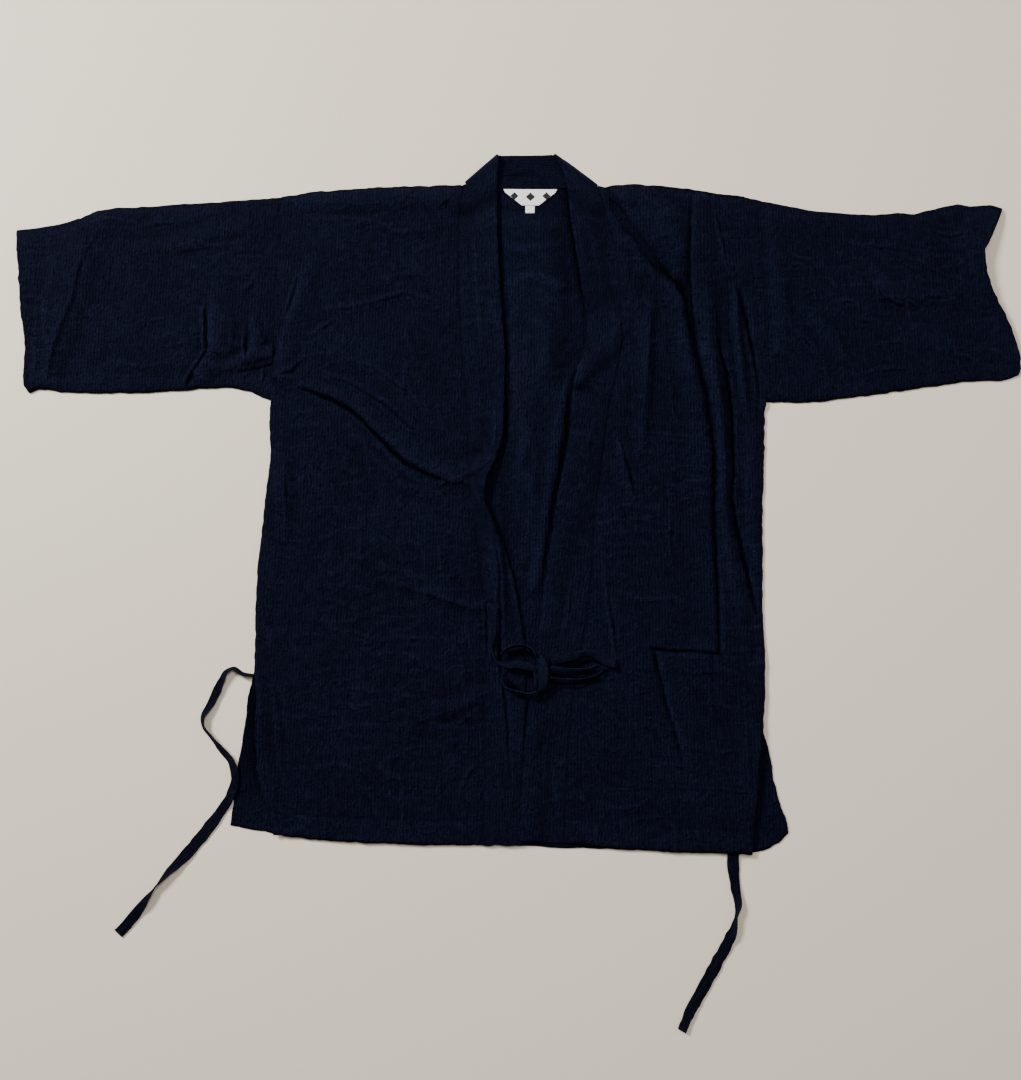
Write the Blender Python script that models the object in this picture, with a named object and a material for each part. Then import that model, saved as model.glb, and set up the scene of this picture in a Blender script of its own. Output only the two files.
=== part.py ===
"""A samue jacket, the Japanese work jacket, laid out flat on its back with its front ties in a bow.

The frame is the jacket's own: +X towards the wearer's left, +Y towards the neck, +Z up from the
surface that it lies on, and the origin under the middle of the back. Sizes and places below are
in millimetres. "Right" and "left" in a piece's name are the wearer's.
"""

import math

import bmesh
import bpy
import numpy as np

MM = 0.001

# Thickness of the walls, and the gaps between pieces
CLOTH = 1.2
BAND = 2.4
NECK_TOP = BAND + 0.1
TIE = 1.2
TAPE = 1.0
SEAM = 0.3
LAYER = CLOTH + SEAM
ARMHOLE_GAP = 0.5

# Levels across the jacket, from the hem to the shoulder
HEM_Y = -388.0
UNDERARM_Y = 103.0
SHOULDER_Y = 368.0
HEM_PULL_Y = -300.0
SHOULDER_PULL_Y = 230.0
LEVELS = (
    HEM_Y, -364, -330, -298, -268, -240, -213, -182, -156, -130, -104, -78, -52, -32, -14, 4, 22, 42, 64, 84,
    UNDERARM_Y, 126, 150, 178, 206, 232, 260, 290, 322, 348, SHOULDER_Y,
)
BACK_LEVELS = (HEM_Y, -358, -330, -298, -268, -213, -156, -78, -14, 42, UNDERARM_Y, 206, 290, 332, SHOULDER_Y)

# Side edges of the body, as rows of (y, x): armhole seam, side seam, then the edge of the slit
ARMHOLE_RIGHT = ((358, -285), (UNDERARM_Y, -285))
ARMHOLE_LEFT = ((358, 266), (UNDERARM_Y, 283.5))
SIDE_RIGHT = ((92, -287), (70, -286), (40, -283), (7, -285), (-18, -287), (-77, -291), (-135, -292), (-193, -290))
SIDE_LEFT = ((90, 281.5), (48, 280), (7, 277.5), (-20, 275.5), (-77, 274), (-127, 271.5), (-180, 273), (-240, 271))
SLIT_RIGHT_BACK = ((-213, -291), (-235, -296), (-260, -297), (-280, -299), (-300, -302), (-340, -305), (-374, -308))
SLIT_RIGHT_FRONT = ((-213, -290), (-240, -285), (-280, -284), (-320, -280), (-335, -275), (-352, -268), (-382, -260))
SLIT_LEFT_BACK = ((-268, 268), (-280, 272), (-300, 276), (-320, 278), (-335, 281), (-348, 284.5), (-358, 290), (-378, 292))
SLIT_LEFT_FRONT = ((-268, 267.5), (-282, 265), (-300, 262), (-320, 260), (-340, 258), (-360, 255), (-398, 252))

# Shoulder, neckline and hems, as rows of (x, y)
SHOULDER_RIGHT = ((-285, 353), (-240, 359.5), (-198, 363), (-140, 366.5), (-70, 368))
SHOULDER_LEFT = ((92, 367), (120, 369), (150, 370), (180, 368.5), (202, 365.5), (230, 360.5), (266, 356))
NECKLINE = ((-66, 365.2), (-40, 364.8), (10, 364.6), (60, 364.8), (88, 365.2))
HEM_BACK = (
    (-308, -374), (-259, -381.5), (-173, -388), (-90, -390), (2, -392), (60, -394), (110, -395), (193, -395.5),
    (252, -397), (268, -393.5), (281, -387), (292, -377),
)
HEM_RIGHT = ((-260, -382.5), (-223, -387), (-173, -390), (-90, -392), (-36, -392))
HEM_LEFT = ((52, -388.5), (100, -394), (140, -396), (193, -397.5), (252, -399))

# The collar band: its seam to the front and its free edge, as rows of (y, x)
BAND_SEAM_RIGHT = (
    (SHOULDER_Y, -70), (332, -72.5), (240, -73), (180, -68), (110, -61), (20, -57), (0, -57), (-38, -50), (-90, -43),
    (-170, -41), (-240, -37), (-290, -34.5), (-392, -36),
)
BAND_EDGE_RIGHT = (
    (332, -28), (280, -26), (240, -23), (200, -20.5), (157, -17), (107, -17), (57, -19), (32, -27), (10, -37), (-5, -39),
    (-18, -38), (-31, -31), (-45, -24), (-60, -17.5), (-75, -13.5), (-105, -5), (-140, 2), (-177, 7), (-240, 9), (-392, 8),
)
BAND_SEAM_LEFT = (
    (SHOULDER_Y, 92), (345, 99), (320, 105), (300, 111), (270, 116), (240, 118), (200, 119), (170, 118.5), (150, 116),
    (110, 106), (80, 101), (40, 96), (10, 92), (-20, 87), (-100, 83), (-150, 77), (-178, 72), (-240, 61), (-290, 57),
    (-340, 53.5), (-390, 52),
)
BAND_EDGE_LEFT = (
    (332, 58), (300, 63), (270, 68), (222, 75), (200, 78), (170, 77), (150, 70), (135, 64.5), (125, 62), (100, 60),
    (65, 58), (35, 53), (10, 48.5), (-10, 44), (-30, 41), (-55, 37.5), (-80, 33.5), (-110, 29), (-140, 26), (-177, 23),
    (-200, 20), (-237, 13), (-285, 8.5), (-320, 6), (-386, 3),
)

# The band's last stations below each neck fold, as rows of (seam x, seam y, edge x, edge y)
NECK_RIGHT = ((-71.1, 350, -28, 360), (-70.3, 360, -28, 384))
NECK_LEFT = ((97.8, 348, 56, 358), (94.2, 359, 51, 384))
# The folds where the band turns over at each side of the neck, and its stations across the back
FOLD_RIGHT = ((-66.2, 372.5), (-28.8, 406.8))
FOLD_LEFT = ((92, 369.3), (41.8, 408.3))
NECK_BACK = (
    (-45, 366.3, -21, 407), (-20, 365.7, -8, 407.4), (10, 365.4, 8, 407.4), (38, 365.7, 22, 408), (66, 366.3, 34, 409),
)

# Folds raised in the cloth: each row has the crest's x, y and height, and how far the fold reaches
# to the left and to the right of somebody who walks along the rows.
FOLDS_RIGHT = {
    "neck_turn": ((-70, 366, 3.6, 50, 34), (-28, 407, 4.5, 50, 50)),
    "band_edge": ((-28, 400, 2.5, 26, 40), (-28, 332, 4.0, 12, 40), (-23, 240, 2.8, 12, 36), (-18, 180, 1.0, 12, 30)),
    "band_curl": (
        (-17, 112, 1.5, 10, 24), (-20, 57, 4.0, 10, 24), (-30, 30, 6.0, 9, 24), (-39, 5, 7.5, 9, 24),
        (-39, -18, 7.5, 9, 22), (-30, -45, 6.0, 8, 22), (-24, -70, 4.5, 8, 20), (-21, -110, 3.4, 8, 20),
        (-20, -160, 2.4, 8, 20), (-20, -182, 0.3, 8, 18),
    ),
    "band_lower_edge": ((-14, -66, 0.8, 8, 8), (-2, -110, 1.5, 8, 10), (3, -145, 1.6, 8, 12), (7, -172, 0.6, 8, 10)),
    "chest": (
        (-258, 124, 0.6, 30, 7), (-233, 116.5, 1.6, 34, 7), (-212, 108.5, 2.4, 38, 7), (-191, 96, 3.0, 40, 7),
        (-157, 62.5, 3.5, 42, 7), (-144, 51.5, 3.7, 42, 7), (-124, 33.5, 3.7, 40, 7), (-92, 17.5, 3.2, 34, 8),
        (-74, 11, 2.4, 26, 10), (-50, 26, 1.8, 20, 11),
    ),
    "armhole": (
        (-246, 272, 1.0, 16, 14), (-256, 240, 3.0, 20, 14), (-266, 205, 4.0, 24, 12), (-274, 170, 4.0, 24, 9),
        (-278, 132, 2.5, 20, 7),
    ),
    "side": ((-275, 44, 1.0, 14, 8), (-270, 0, 3.0, 16, 12), (-266, -52, 1.0, 14, 14)),
    "waist": ((-150, -98, 0.8, 20, 12), (-95, -116, 1.8, 24, 12), (-48, -134, 1.2, 20, 10)),
    "skirt": ((-104, -254, 1.0, 20, 10), (-70, -246, 2.2, 22, 10), (-42, -234, 1.2, 18, 10)),
    "slit": ((-288, -218, 1.0, 14, 10), (-285, -250, 4.5, 16, 10), (-283, -290, 5.0, 18, 10), (-275, -335, 4.0, 22, 10),
             (-261, -384, 2.0, 24, 10)),
    "shoulder": ((-270, 352, 1.5, 26, 22), (-190, 356, 2.6, 26, 24), (-110, 360, 2.0, 26, 24)),
}
FOLDS_LEFT = {
    "neck_turn": ((92, 366, 3.6, 34, 50), (41, 409, 4.0, 50, 50)),
    "band_edge": (
        (46, 405, 1.6, 40, 20), (53, 380, 4.0, 44, 12), (57, 340, 7.5, 46, 12), (63, 300, 7.5, 46, 12),
        (68, 270, 5.5, 44, 12), (73, 240, 3.0, 36, 12), (78, 195, 1.0, 24, 12),
    ),
    "band_bulge": (
        (126, 204, 1.6, 24, 40), (109, 186, 3.6, 24, 52), (92, 168, 4.6, 24, 60), (76, 150, 5.2, 22, 64),
        (64, 132, 5.6, 18, 66),
    ),
    "band_lift": (
        (64, 116, 4.0, 50, 10), (60, 92, 7.5, 50, 10), (57, 62, 8.5, 50, 10), (51, 25, 8.0, 46, 10),
        (44, -12, 6.5, 42, 10), (38, -50, 4.6, 36, 10), (31, -95, 3.4, 30, 10), (25, -150, 3.0, 24, 10),
        (23, -170, 0.6, 20, 10),
    ),
    "band_lap": ((15, -228, 0.6, 22, 10), (10, -270, 3.4, 28, 10), (6, -330, 3.9, 30, 10), (2, -390, 4.0, 30, 10)),
    "band_seam": ((100, 345, 0.6, 16, 18), (113, 300, 1.2, 16, 20), (119, 252, 1.2, 18, 20), (130, 215, 0.6, 18, 20)),
    "shoulder": ((134, 362, 3.5, 26, 26), (166, 330, 6.0, 28, 28), (188, 288, 4.5, 22, 24), (194, 268, 2.0, 14, 20)),
    "lip": (
        (208, 353, 2.5, 18, 6), (206.5, 322, 4.5, 22, 6), (205.5, 292, 5.5, 24, 6), (205, 256, 6.5, 26, 6),
        (206.5, 218, 7.5, 28, 6), (212, 165, 7.2, 24, 6), (223.5, 100, 6.2, 20, 6), (229, 55, 5.6, 18, 6),
        (229.5, 10, 5.6, 18, 6), (226.5, -27, 5.2, 20, 6), (228.5, -102, 4.6, 20, 6), (228.5, -184, 3.6, 18, 7),
        (228.5, -215, 1.0, 14, 8),
    ),
    "roll": (
        (222, 262, 1.5, 16, 14), (222, 219, 3.6, 13, 14), (223, 165, 4.4, 11, 14), (232, 96, 4.6, 9, 12),
        (234, 30, 4.4, 9, 12), (233, -27, 4.2, 10, 12), (240, -78, 4.4, 12, 14), (246, -125, 4.0, 14, 14),
        (247, -180, 2.4, 14, 14), (244, -225, 0.5, 14, 14),
    ),
    "before_lip": (
        (180, 300, 1.0, 18, 24), (178, 262, 3.0, 20, 24), (184, 219, 4.2, 20, 20), (191, 165, 4.2, 20, 20),
        (202, 100, 3.4, 19, 24), (207, 40, 2.8, 19, 26), (205, -27, 2.4, 18, 26), (208, -102, 2.2, 18, 24),
        (208, -176, 1.0, 18, 20),
    ),
    "second_roll": ((251, 246, 2.0, 8, 9), (251, 205, 5.0, 8, 9), (253, 160, 5.5, 9, 8), (257, 120, 3.5, 8, 9),
                    (259, 84, 1.0, 8, 10)),
    "side": ((262, 70, 1.5, 14, 12), (262, 10, 3.0, 14, 14), (262, -50, 3.0, 14, 12), (266, -84, 1.5, 12, 10)),
    "chest": (
        (152, 228, 1.5, 8, 18), (150, 192, 5.0, 8, 24), (149, 150, 5.0, 8, 24), (146, 108, 5.0, 8, 22),
        (141, 68, 3.0, 8, 18), (138, 44, 1.0, 8, 14),
    ),
    "waist": ((118, 44, 1.0, 12, 16), (117, 18, 2.4, 9, 16), (124, -16, 1.0, 9, 14)),
    "slit": ((268, -264, 0.8, 10, 12), (263, -298, 4.0, 10, 16), (258, -340, 4.2, 10, 18), (253, -388, 2.2, 10, 20)),
    "over_tie": ((266, -198, 3.0, 22, 22), (263, -240, 3.0, 22, 22), (249, -330, 3.0, 20, 20), (231, -402, 2.8, 20, 20)),
}
FOLDS_SLEEVE_RIGHT = {
    "cuff": (
        (-500, 322, 1.2, 22, 40), (-507, 298, 3.0, 24, 46), (-515, 285, 4.2, 26, 50), (-522, 262, 4.8, 26, 50),
        (-525, 225, 5.2, 26, 48), (-532, 203, 5.2, 26, 44), (-541, 170, 5.0, 24, 40), (-546, 145, 4.4, 22, 36),
        (-546, 122, 3.0, 18, 30),
    ),
    "middle": ((-360, 232, 1.0, 26, 10), (-357, 196, 4.0, 28, 10), (-356, 164, 5.0, 26, 10), (-370, 136, 4.0, 22, 12)),
    "inner": ((-310, 200, 1.0, 14, 9), (-308, 172, 3.6, 14, 9), (-310, 152, 2.5, 12, 8)),
    "underarm": ((-350, 138, 1.5, 14, 9), (-318, 150, 3.4, 16, 9), (-288, 158, 3.0, 16, 9)),
    "long": ((-450, 284, 1.0, 20, 12), (-390, 296, 2.6, 24, 14), (-330, 316, 1.2, 20, 12)),
}
FOLDS_SLEEVE_LEFT = {
    "elbow": ((416, 252, 1.0, 22, 12), (424, 240, 2.8, 28, 12), (440, 231, 3.2, 32, 13), (472, 236, 2.0, 30, 16),
              (508, 244, 0.6, 20, 14)),
    "lower": ((420, 188, 0.5, 18, 14), (468, 180, 1.2, 20, 14), (524, 162, 1.0, 18, 14)),
    "cuff": (
        (566, 336, 1.0, 10, 30), (550, 306, 7.0, 10, 46), (541, 286, 9.5, 10, 54), (547, 250, 8.0, 10, 52),
        (559, 214, 4.0, 10, 42), (572, 176, 1.5, 10, 30),
    ),
    "seam": ((292, 330, 1.0, 16, 12), (298, 250, 2.6, 20, 14), (300, 170, 2.0, 18, 14)),
    "over": ((330, 214, 1.0, 14, 14), (352, 190, 2.6, 16, 16), (372, 160, 1.2, 14, 14)),
}

# Edges of the two sleeves in plan. Seam to cuff along the top and the underside, then the cuff upwards.
SLEEVE_RIGHT_TOP = ((-285, 353), (-320, 350), (-365, 346.5), (-430, 341.5), (-478, 338.5), (-503, 336), (-512, 330.5),
                    (-522, 325.5), (-536, 320.5), (-560, 315.5), (-597, 309.5))
SLEEVE_RIGHT_UNDER = ((-285, 103), (-296, 105.5), (-310, 112), (-332, 117), (-370, 115), (-384, 113), (-430, 110.5),
                      (-480, 109), (-520, 109.5), (-545, 112.5), (-556, 112.5), (-566, 108))
SLEEVE_RIGHT_CUFF = ((-566, 108), (-571, 114), (-573.5, 128), (-574, 160), (-579, 190), (-584, 208), (-588, 236),
                     (-594, 282), (-597, 309.5))
SLEEVE_LEFT_TOP = ((266, 356), (285, 352), (320, 343.5), (360, 337), (400, 334.5), (420, 334), (442, 336.5), (466, 335),
                   (490, 341), (519, 348.5), (534, 345.5), (556, 347), (571, 343.5))
SLEEVE_LEFT_UNDER = ((283.5, 103), (320, 102.5), (345, 104), (380, 109), (440, 117), (500, 127), (532, 130.5), (556, 130),
                     (576, 137))
SLEEVE_LEFT_CUFF = ((576, 137), (578, 160), (572.5, 182), (566, 202), (556, 221), (547, 245), (543, 262), (541, 288),
                    (551, 301), (559, 318), (571, 343.5))

# Pocket on the left front, as corners in plan and the columns and rows between them
POCKET_BOX = ((117, -331), (254, -336), (252, -188.5), (120, -181))
POCKET_MOUTH_LIFT = ((149, -176, 2.4, 60, 9), (160, -235, 2.2, 40, 9), (172, -280, 1.6, 30, 9), (178, -312, 0.4, 20, 9))

# Label at the neck: half its width along the seam and at its lower edge, and its levels
LABEL_X = 12.0
LABEL_ROWS = ((364.2, 32), (360, 30), (351, 19), (343.5, 10))
SIZE_TAB = ((6.2, 334), (17.2, 343.1))

# Ties, as rows of (x, y, height of what it lies on, width, lean from flat in degrees)
TIE_WIDTH = 12.0
SIDE_TIE_RIGHT = (
    (-292.0, -213, 0.5, 7, 60), (-303, -211, 0.1, 7, 60), (-313, -205.5, 0.1, 7, 60), (-320, -209, 0.1, 8, 50),
    (-325, -218, 0.1, 9, 25), (-331, -233, 0.1, 10, 15), (-338, -248, 0.1, 9, 25), (-343.5, -259, 0.1, 8, 50),
    (-342.5, -268, 0.1, 8, 60), (-335, -278, 0.1, 8, 62), (-327, -287, 0.1, 8, 50), (-320, -294.5, 0.1, 9, 35),
    (-312, -303, 0.3, 9, 35), (-306.5, -313, 1.6, 9, 15), (-305, -326, 1.6, 9, 5), (-308, -340, 1.6, 10, 5),
    (-318, -357, 0.1, 11, 0), (-331, -375.5, 0.1, 12, 0), (-345, -394, 0.1, 12, 0), (-360, -411, 0.1, 11, 10),
    (-374, -425.5, 0.1, 8, 40), (-384.5, -438.5, 0.1, 6, 75), (-392, -449, 0.1, 8, 40), (-402, -463, 0.1, 11, 5),
    (-412, -475.5, 0.1, 12, 0), (-421, -486, 0.1, 12, 0),
)
SIDE_TIE_LEFT = (
    (266, -214, 1.6, 12, 0), (263, -240, 1.6, 12, 0), (256, -290, 1.6, 12, 0), (244, -350, 1.6, 12, 0),
    (235, -388, 1.6, 12, 0), (231.8, -402, 1.2, 12, 0), (232.5, -418, 0.1, 12, 0), (234.5, -438, 0.1, 10, 10),
    (236, -451, 0.1, 8, 40), (233.5, -462, 0.1, 6, 75), (231.5, -471, 0.1, 8, 45), (226, -485, 0.1, 11, 10),
    (217, -501, 0.1, 12, 0), (206, -520, 0.1, 12, 0), (195, -538, 0.1, 12, 0), (184, -556, 0.1, 11, 5),
    (174, -577, 0.1, 9, 15),
)

# Bow, as rows of (x, y, middle's z, bearing of the ribbon's width in plan, its rise above flat)
BOW_WIDTH = 9.0
FRONT_TIE_RIGHT = (
    (-27.6, -134.5, 7.6, 0, 14), (-27.6, -148, 7.6, 0, 10), (-27.4, -162, 7.7, 0, 0), (-27.2, -173, 8.2, 0, -24),
    (-26.8, -183, 9.4, 0, -66), (-25, -191, 9.6, 40, -84), (-20.5, -196.6, 9.6, 70, -70), (-12, -198.8, 9.8, 85, -30),
    (-2, -199, 10.4, 90, -6), (9, -200.4, 10.6, 95, -4), (20.5, -203.5, 10.4, 98, -6),
)
FRONT_TIE_LEFT = ((59, -189, 4.85, 90, 0), (48, -190, 4.9, 88, 0), (42, -190.8, 5.0, 86, 0), (36.5, -191.6, 5.2, 84, 0))
BOW_LOOP_TOP = (
    (20.5, -191.5, 9.6, 60, 80), (17.2, -184.6, 9.6, 50, 80), (11, -180, 9.6, 75, 80), (2.5, -178.4, 9.6, 90, 80),
    (-6.5, -179.8, 9.6, 100, 80), (-13.8, -183.8, 9.6, 125, 82), (-18.4, -189.8, 9.6, 150, 86),
)
BOW_EAR_LEFT = (
    (21.5, -228.6, 9.6, 70, 84), (14, -231.4, 9.6, 85, 82), (5, -230.2, 9.6, 100, 80), (-5, -227.6, 9.6, 105, 80),
    (-12.6, -224.2, 9.6, 130, 82), (-16.6, -217.5, 9.6, 170, 84), (-15.6, -209.5, 9.6, 205, 86),
)
BOW_EAR_RIGHT = (
    (37, -195, 9.2, 104, 14), (50, -192.6, 9.6, 106, 14), (62, -189.6, 9.8, 104, 18), (72, -187.6, 9.8, 98, 36),
    (82, -187.6, 9.8, 82, 36), (90, -191.2, 9.4, 78, 14), (99, -195.2, 8.6, 82, 2), (105, -196.6, 7.9, 86, 0),
    (108.2, -197, 6.9, 90, 0), (106.6, -197.4, 5.9, 90, 0), (100, -198.8, 5.7, 86, 0), (90, -202.2, 6.0, 80, 14),
    (78, -205.4, 7.2, 84, 48), (64, -206.6, 8.6, 88, 46), (50, -206.4, 9.0, 92, 36), (37, -205.2, 9.0, 96, 36),
)
BOW_END = ((37, -215, 9.0, 95, 60), (50, -217.2, 8.8, 95, 50), (62, -217.4, 8.4, 88, 48), (74, -215.9, 7.6, 80, 50),
           (85, -212.4, 6.9, 74, 46), (93, -209, 5.6, 72, 20))
BOW_KNOT_AT = (28.8, -210.5, 9.9)
BOW_KNOT_HALF = (6.8, 21.5, 5.2)

# Grid sizes of the pieces
FRONT_COLUMNS = 20
BACK_SHARES = (0, 0.155, 0.3, 0.394, 0.49, 0.585, 0.68, 0.78, 0.89, 1)
BAND_COLUMNS = 6
SLEEVE_STATIONS = 16
SLEEVE_COLUMNS = 10
POCKET_GRID = (8, 9)
TIE_STEP = 9.0
BOW_STEP = 4.5

COLOURS = {
    "cotton": ((0.006, 0.008, 0.022, 1), 0.85),
    "cotton_band": ((0.006, 0.008, 0.022, 1), 0.85),
    "cotton_tie": ((0.007, 0.009, 0.024, 1), 0.85),
    "label_tape": ((0.82, 0.82, 0.80, 1), 0.7),
}


def clear_scene():
    for obj in list(bpy.data.objects):
        bpy.data.objects.remove(obj)


def material(name):
    """The finish of that name, made the first time that it is asked for."""
    found = bpy.data.materials.get(name)
    if found:
        return found
    colour, roughness = COLOURS[name]
    made = bpy.data.materials.new(name)
    made.use_nodes = True
    shader = made.node_tree.nodes["Principled BSDF"]
    shader.inputs["Base Color"].default_value = colour
    shader.inputs["Roughness"].default_value = roughness
    shader.inputs["Metallic"].default_value = 0.0
    return made


def line(*tables):
    """A line through the rows of these tables, (where, value), as a function of where."""
    rows = np.array(sorted(row for table in tables for row in table), float)
    return lambda where: np.interp(where, rows[:, 0], rows[:, 1])


def fold(rows, x, y):
    """Height at (x, y) of one raised fold."""
    rows = np.array(rows, float)
    height = np.zeros(np.shape(x))
    for start, end in zip(rows[:-1], rows[1:]):
        step = end[:2] - start[:2]
        share = np.clip(((x - start[0]) * step[0] + (y - start[1]) * step[1]) / (step @ step), 0, 1)
        off_x = x - start[0] - share * step[0]
        off_y = y - start[1] - share * step[1]
        high, left, right = (start[k] + share * (end[k] - start[k]) for k in (2, 3, 4))
        reach = np.where(step[0] * off_y - step[1] * off_x > 0, left, right)
        height = np.maximum(height, high * np.clip(1 - (off_x**2 + off_y**2) / reach**2, 0, 1) ** 2)
    return height


def raised(folds, x, y):
    """Height at (x, y) of all the folds together."""
    return sum((fold(rows, x, y) for rows in folds.values()), np.zeros(np.shape(x)))


def gathered_shares(west, east, y, folds, count):
    """Shares of the way from west to east for the columns of one row, closer together at the folds."""
    shares = np.linspace(0, 1, 241)
    x = west + shares * (east - west)
    slope = np.abs(np.gradient(raised(folds, x, np.full_like(x, y)), x))
    total = np.cumsum(0.35 + np.clip(slope, 0, 1.2))
    total = (total - total[0]) / (total[-1] - total[0])
    return np.interp(np.linspace(0, 1, count), total, shares)


def make_object(name, mesh, finish):
    obj = bpy.data.objects.new(name, mesh)
    bpy.context.collection.objects.link(obj)
    mesh.materials.append(material(finish))
    mesh.shade_smooth()
    mesh.set_sharp_from_angle(angle=math.radians(40))
    return obj


def cloth(name, points, wall, finish, offset=1.0):
    """A wall of cloth on a grid of points in mm, rows first."""
    rows, columns = points.shape[:2]
    bm = bmesh.new()
    bmesh.ops.create_grid(bm, x_segments=columns - 1, y_segments=rows - 1, size=1)
    for vert, point in zip(bm.verts, points.reshape(-1, 3)):
        vert.co = point * MM
    mesh = bpy.data.meshes.new(name)
    bm.to_mesh(mesh)
    bm.free()
    obj = make_object(name, mesh, finish)
    thick = obj.modifiers.new("wall", "SOLIDIFY")
    thick.thickness = wall * MM
    thick.offset = offset
    thick.use_even_offset = True
    return obj


def tube(name, outer, inner, finish):
    """A tube of cloth, open at both ends, from the rings of its outer and its inner face in mm."""
    grid = np.concatenate([outer, inner[::-1], outer[:1]])
    grid = np.concatenate([grid, grid[:, :1]], axis=1)
    bm = bmesh.new()
    bmesh.ops.create_grid(bm, x_segments=grid.shape[1] - 1, y_segments=grid.shape[0] - 1, size=1)
    for vert, point in zip(bm.verts, grid.reshape(-1, 3)):
        vert.co = point * MM
    bmesh.ops.remove_doubles(bm, verts=bm.verts, dist=1e-6)
    bmesh.ops.recalc_face_normals(bm, faces=bm.faces)
    mesh = bpy.data.meshes.new(name)
    bm.to_mesh(mesh)
    bm.free()
    return make_object(name, mesh, finish)


def body_points(levels, west, east, top, bottom, columns, folds, base):
    """Grid of a body panel's underside: its rows run from the hem to the shoulder. With no folds, columns holds their shares."""
    grid = []
    for level in levels:
        pull_up = max(0.0, (level - SHOULDER_PULL_Y) / (SHOULDER_Y - SHOULDER_PULL_Y))
        pull_down = max(0.0, (HEM_PULL_Y - level) / (HEM_PULL_Y - HEM_Y))

        def at(x, level=level, pull_up=pull_up, pull_down=pull_down):
            return level + (top(x) - SHOULDER_Y) * pull_up + (bottom(x) - HEM_Y) * pull_down

        left, right = west(level), east(level)
        left, right = west(at(left)), east(at(right))
        shares = gathered_shares(left, right, level, folds, columns) if folds else np.array(columns)
        x = left + shares * (right - left)
        y = at(x)
        grid.append(np.column_stack([x, y, base + raised(folds, x, y)]))
    return np.array(grid)


def back():
    points = body_points(
        BACK_LEVELS,
        line(ARMHOLE_RIGHT, SIDE_RIGHT, SLIT_RIGHT_BACK),
        line(ARMHOLE_LEFT, SIDE_LEFT, SLIT_LEFT_BACK),
        line(SHOULDER_RIGHT, NECKLINE, SHOULDER_LEFT),
        line(HEM_BACK),
        BACK_SHARES, {}, 0.0,
    )
    cloth("back", points, CLOTH, "cotton")


def front_right():
    seam = line(BAND_SEAM_RIGHT)
    points = body_points(
        LEVELS,
        line(ARMHOLE_RIGHT, SIDE_RIGHT, SLIT_RIGHT_FRONT),
        lambda y: seam(y) - SEAM,
        line(SHOULDER_RIGHT),
        line(HEM_RIGHT),
        FRONT_COLUMNS, FOLDS_RIGHT, LAYER,
    )
    cloth("front_right", points, CLOTH, "cotton")


def front_left():
    seam = line(BAND_SEAM_LEFT)
    points = body_points(
        LEVELS,
        lambda y: seam(y) + SEAM / 2,
        line(ARMHOLE_LEFT, SIDE_LEFT, SLIT_LEFT_FRONT),
        line(SHOULDER_LEFT),
        line(HEM_LEFT),
        FRONT_COLUMNS, FOLDS_LEFT, LAYER,
    )
    cloth("front_left", points, CLOTH, "cotton")


def across(start, end):
    """The band's points from its seam to its free edge, in plan."""
    shares = np.linspace(0, 1, BAND_COLUMNS)[:, None]
    return np.array(start, float) * (1 - shares) + np.array(end, float) * shares


def front_stations(seam, edge, hem_seam, hem_edge, side, neck):
    """Plan stations of one front's band, from the hem up to the neck fold."""
    stations = []
    for level in LEVELS[:-2]:
        pull = max(0.0, (HEM_PULL_Y - level) / (HEM_PULL_Y - HEM_Y))
        start = (seam(level) + side * SEAM / 2, level + (hem_seam - HEM_Y) * pull)
        stations.append(across(start, (edge(level), level + (hem_edge - HEM_Y) * pull)))
    stations += [across((row[0] + side * SEAM / 2, row[1]), row[2:]) for row in neck]
    return stations


def turned_over(fold_line, folds):
    """Stations round the fold at one side of the neck, from the upper layer to the lower one."""
    start, end = (np.array(p, float) for p in fold_line)
    along = (end - start) / np.linalg.norm(end - start)
    outward = np.array([-along[1], along[0]]) * (1 if along[0] > 0 else -1)
    edge = across(start, end)
    inner = edge - outward * (BAND + 1.6)
    radius = (LAYER + raised(folds, inner[:, 0], inner[:, 1]) - NECK_TOP) / 2
    centre = edge - outward * (BAND + radius)[:, None]
    stations = []
    for angle in np.radians((90, 50, 15, -15, -50, -90)):
        plan = centre + outward * (radius * math.cos(angle))[:, None]
        stations.append(np.column_stack([plan, NECK_TOP + radius * (1 + math.sin(angle))]))
    return stations


def collar():
    right = front_stations(line(BAND_SEAM_RIGHT), line(BAND_EDGE_RIGHT), -392, -391.5, 1, NECK_RIGHT)
    left = front_stations(line(BAND_SEAM_LEFT), line(BAND_EDGE_LEFT), -388.5, -386, -1, NECK_LEFT)
    grid = [np.column_stack([p, LAYER + raised(FOLDS_RIGHT, p[:, 0], p[:, 1])]) for p in right]
    grid += turned_over(FOLD_RIGHT, FOLDS_RIGHT)
    grid += [np.column_stack([across(row[:2], row[2:]), np.full(BAND_COLUMNS, NECK_TOP)]) for row in NECK_BACK]
    grid += turned_over(FOLD_LEFT, FOLDS_LEFT)[::-1]
    grid += [np.column_stack([p, LAYER + raised(FOLDS_LEFT, p[:, 0], p[:, 1])]) for p in left[::-1]]
    cloth("collar", np.array(grid), BAND, "cotton_band")


def along(rows, shares):
    """Points at these shares of the length of the line through the rows."""
    rows = np.array(rows, float)
    reach = np.concatenate([[0], np.cumsum(np.linalg.norm(np.diff(rows, axis=0), axis=1))])
    return np.column_stack([np.interp(shares * reach[-1], reach, rows[:, k]) for k in (0, 1)])


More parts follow.
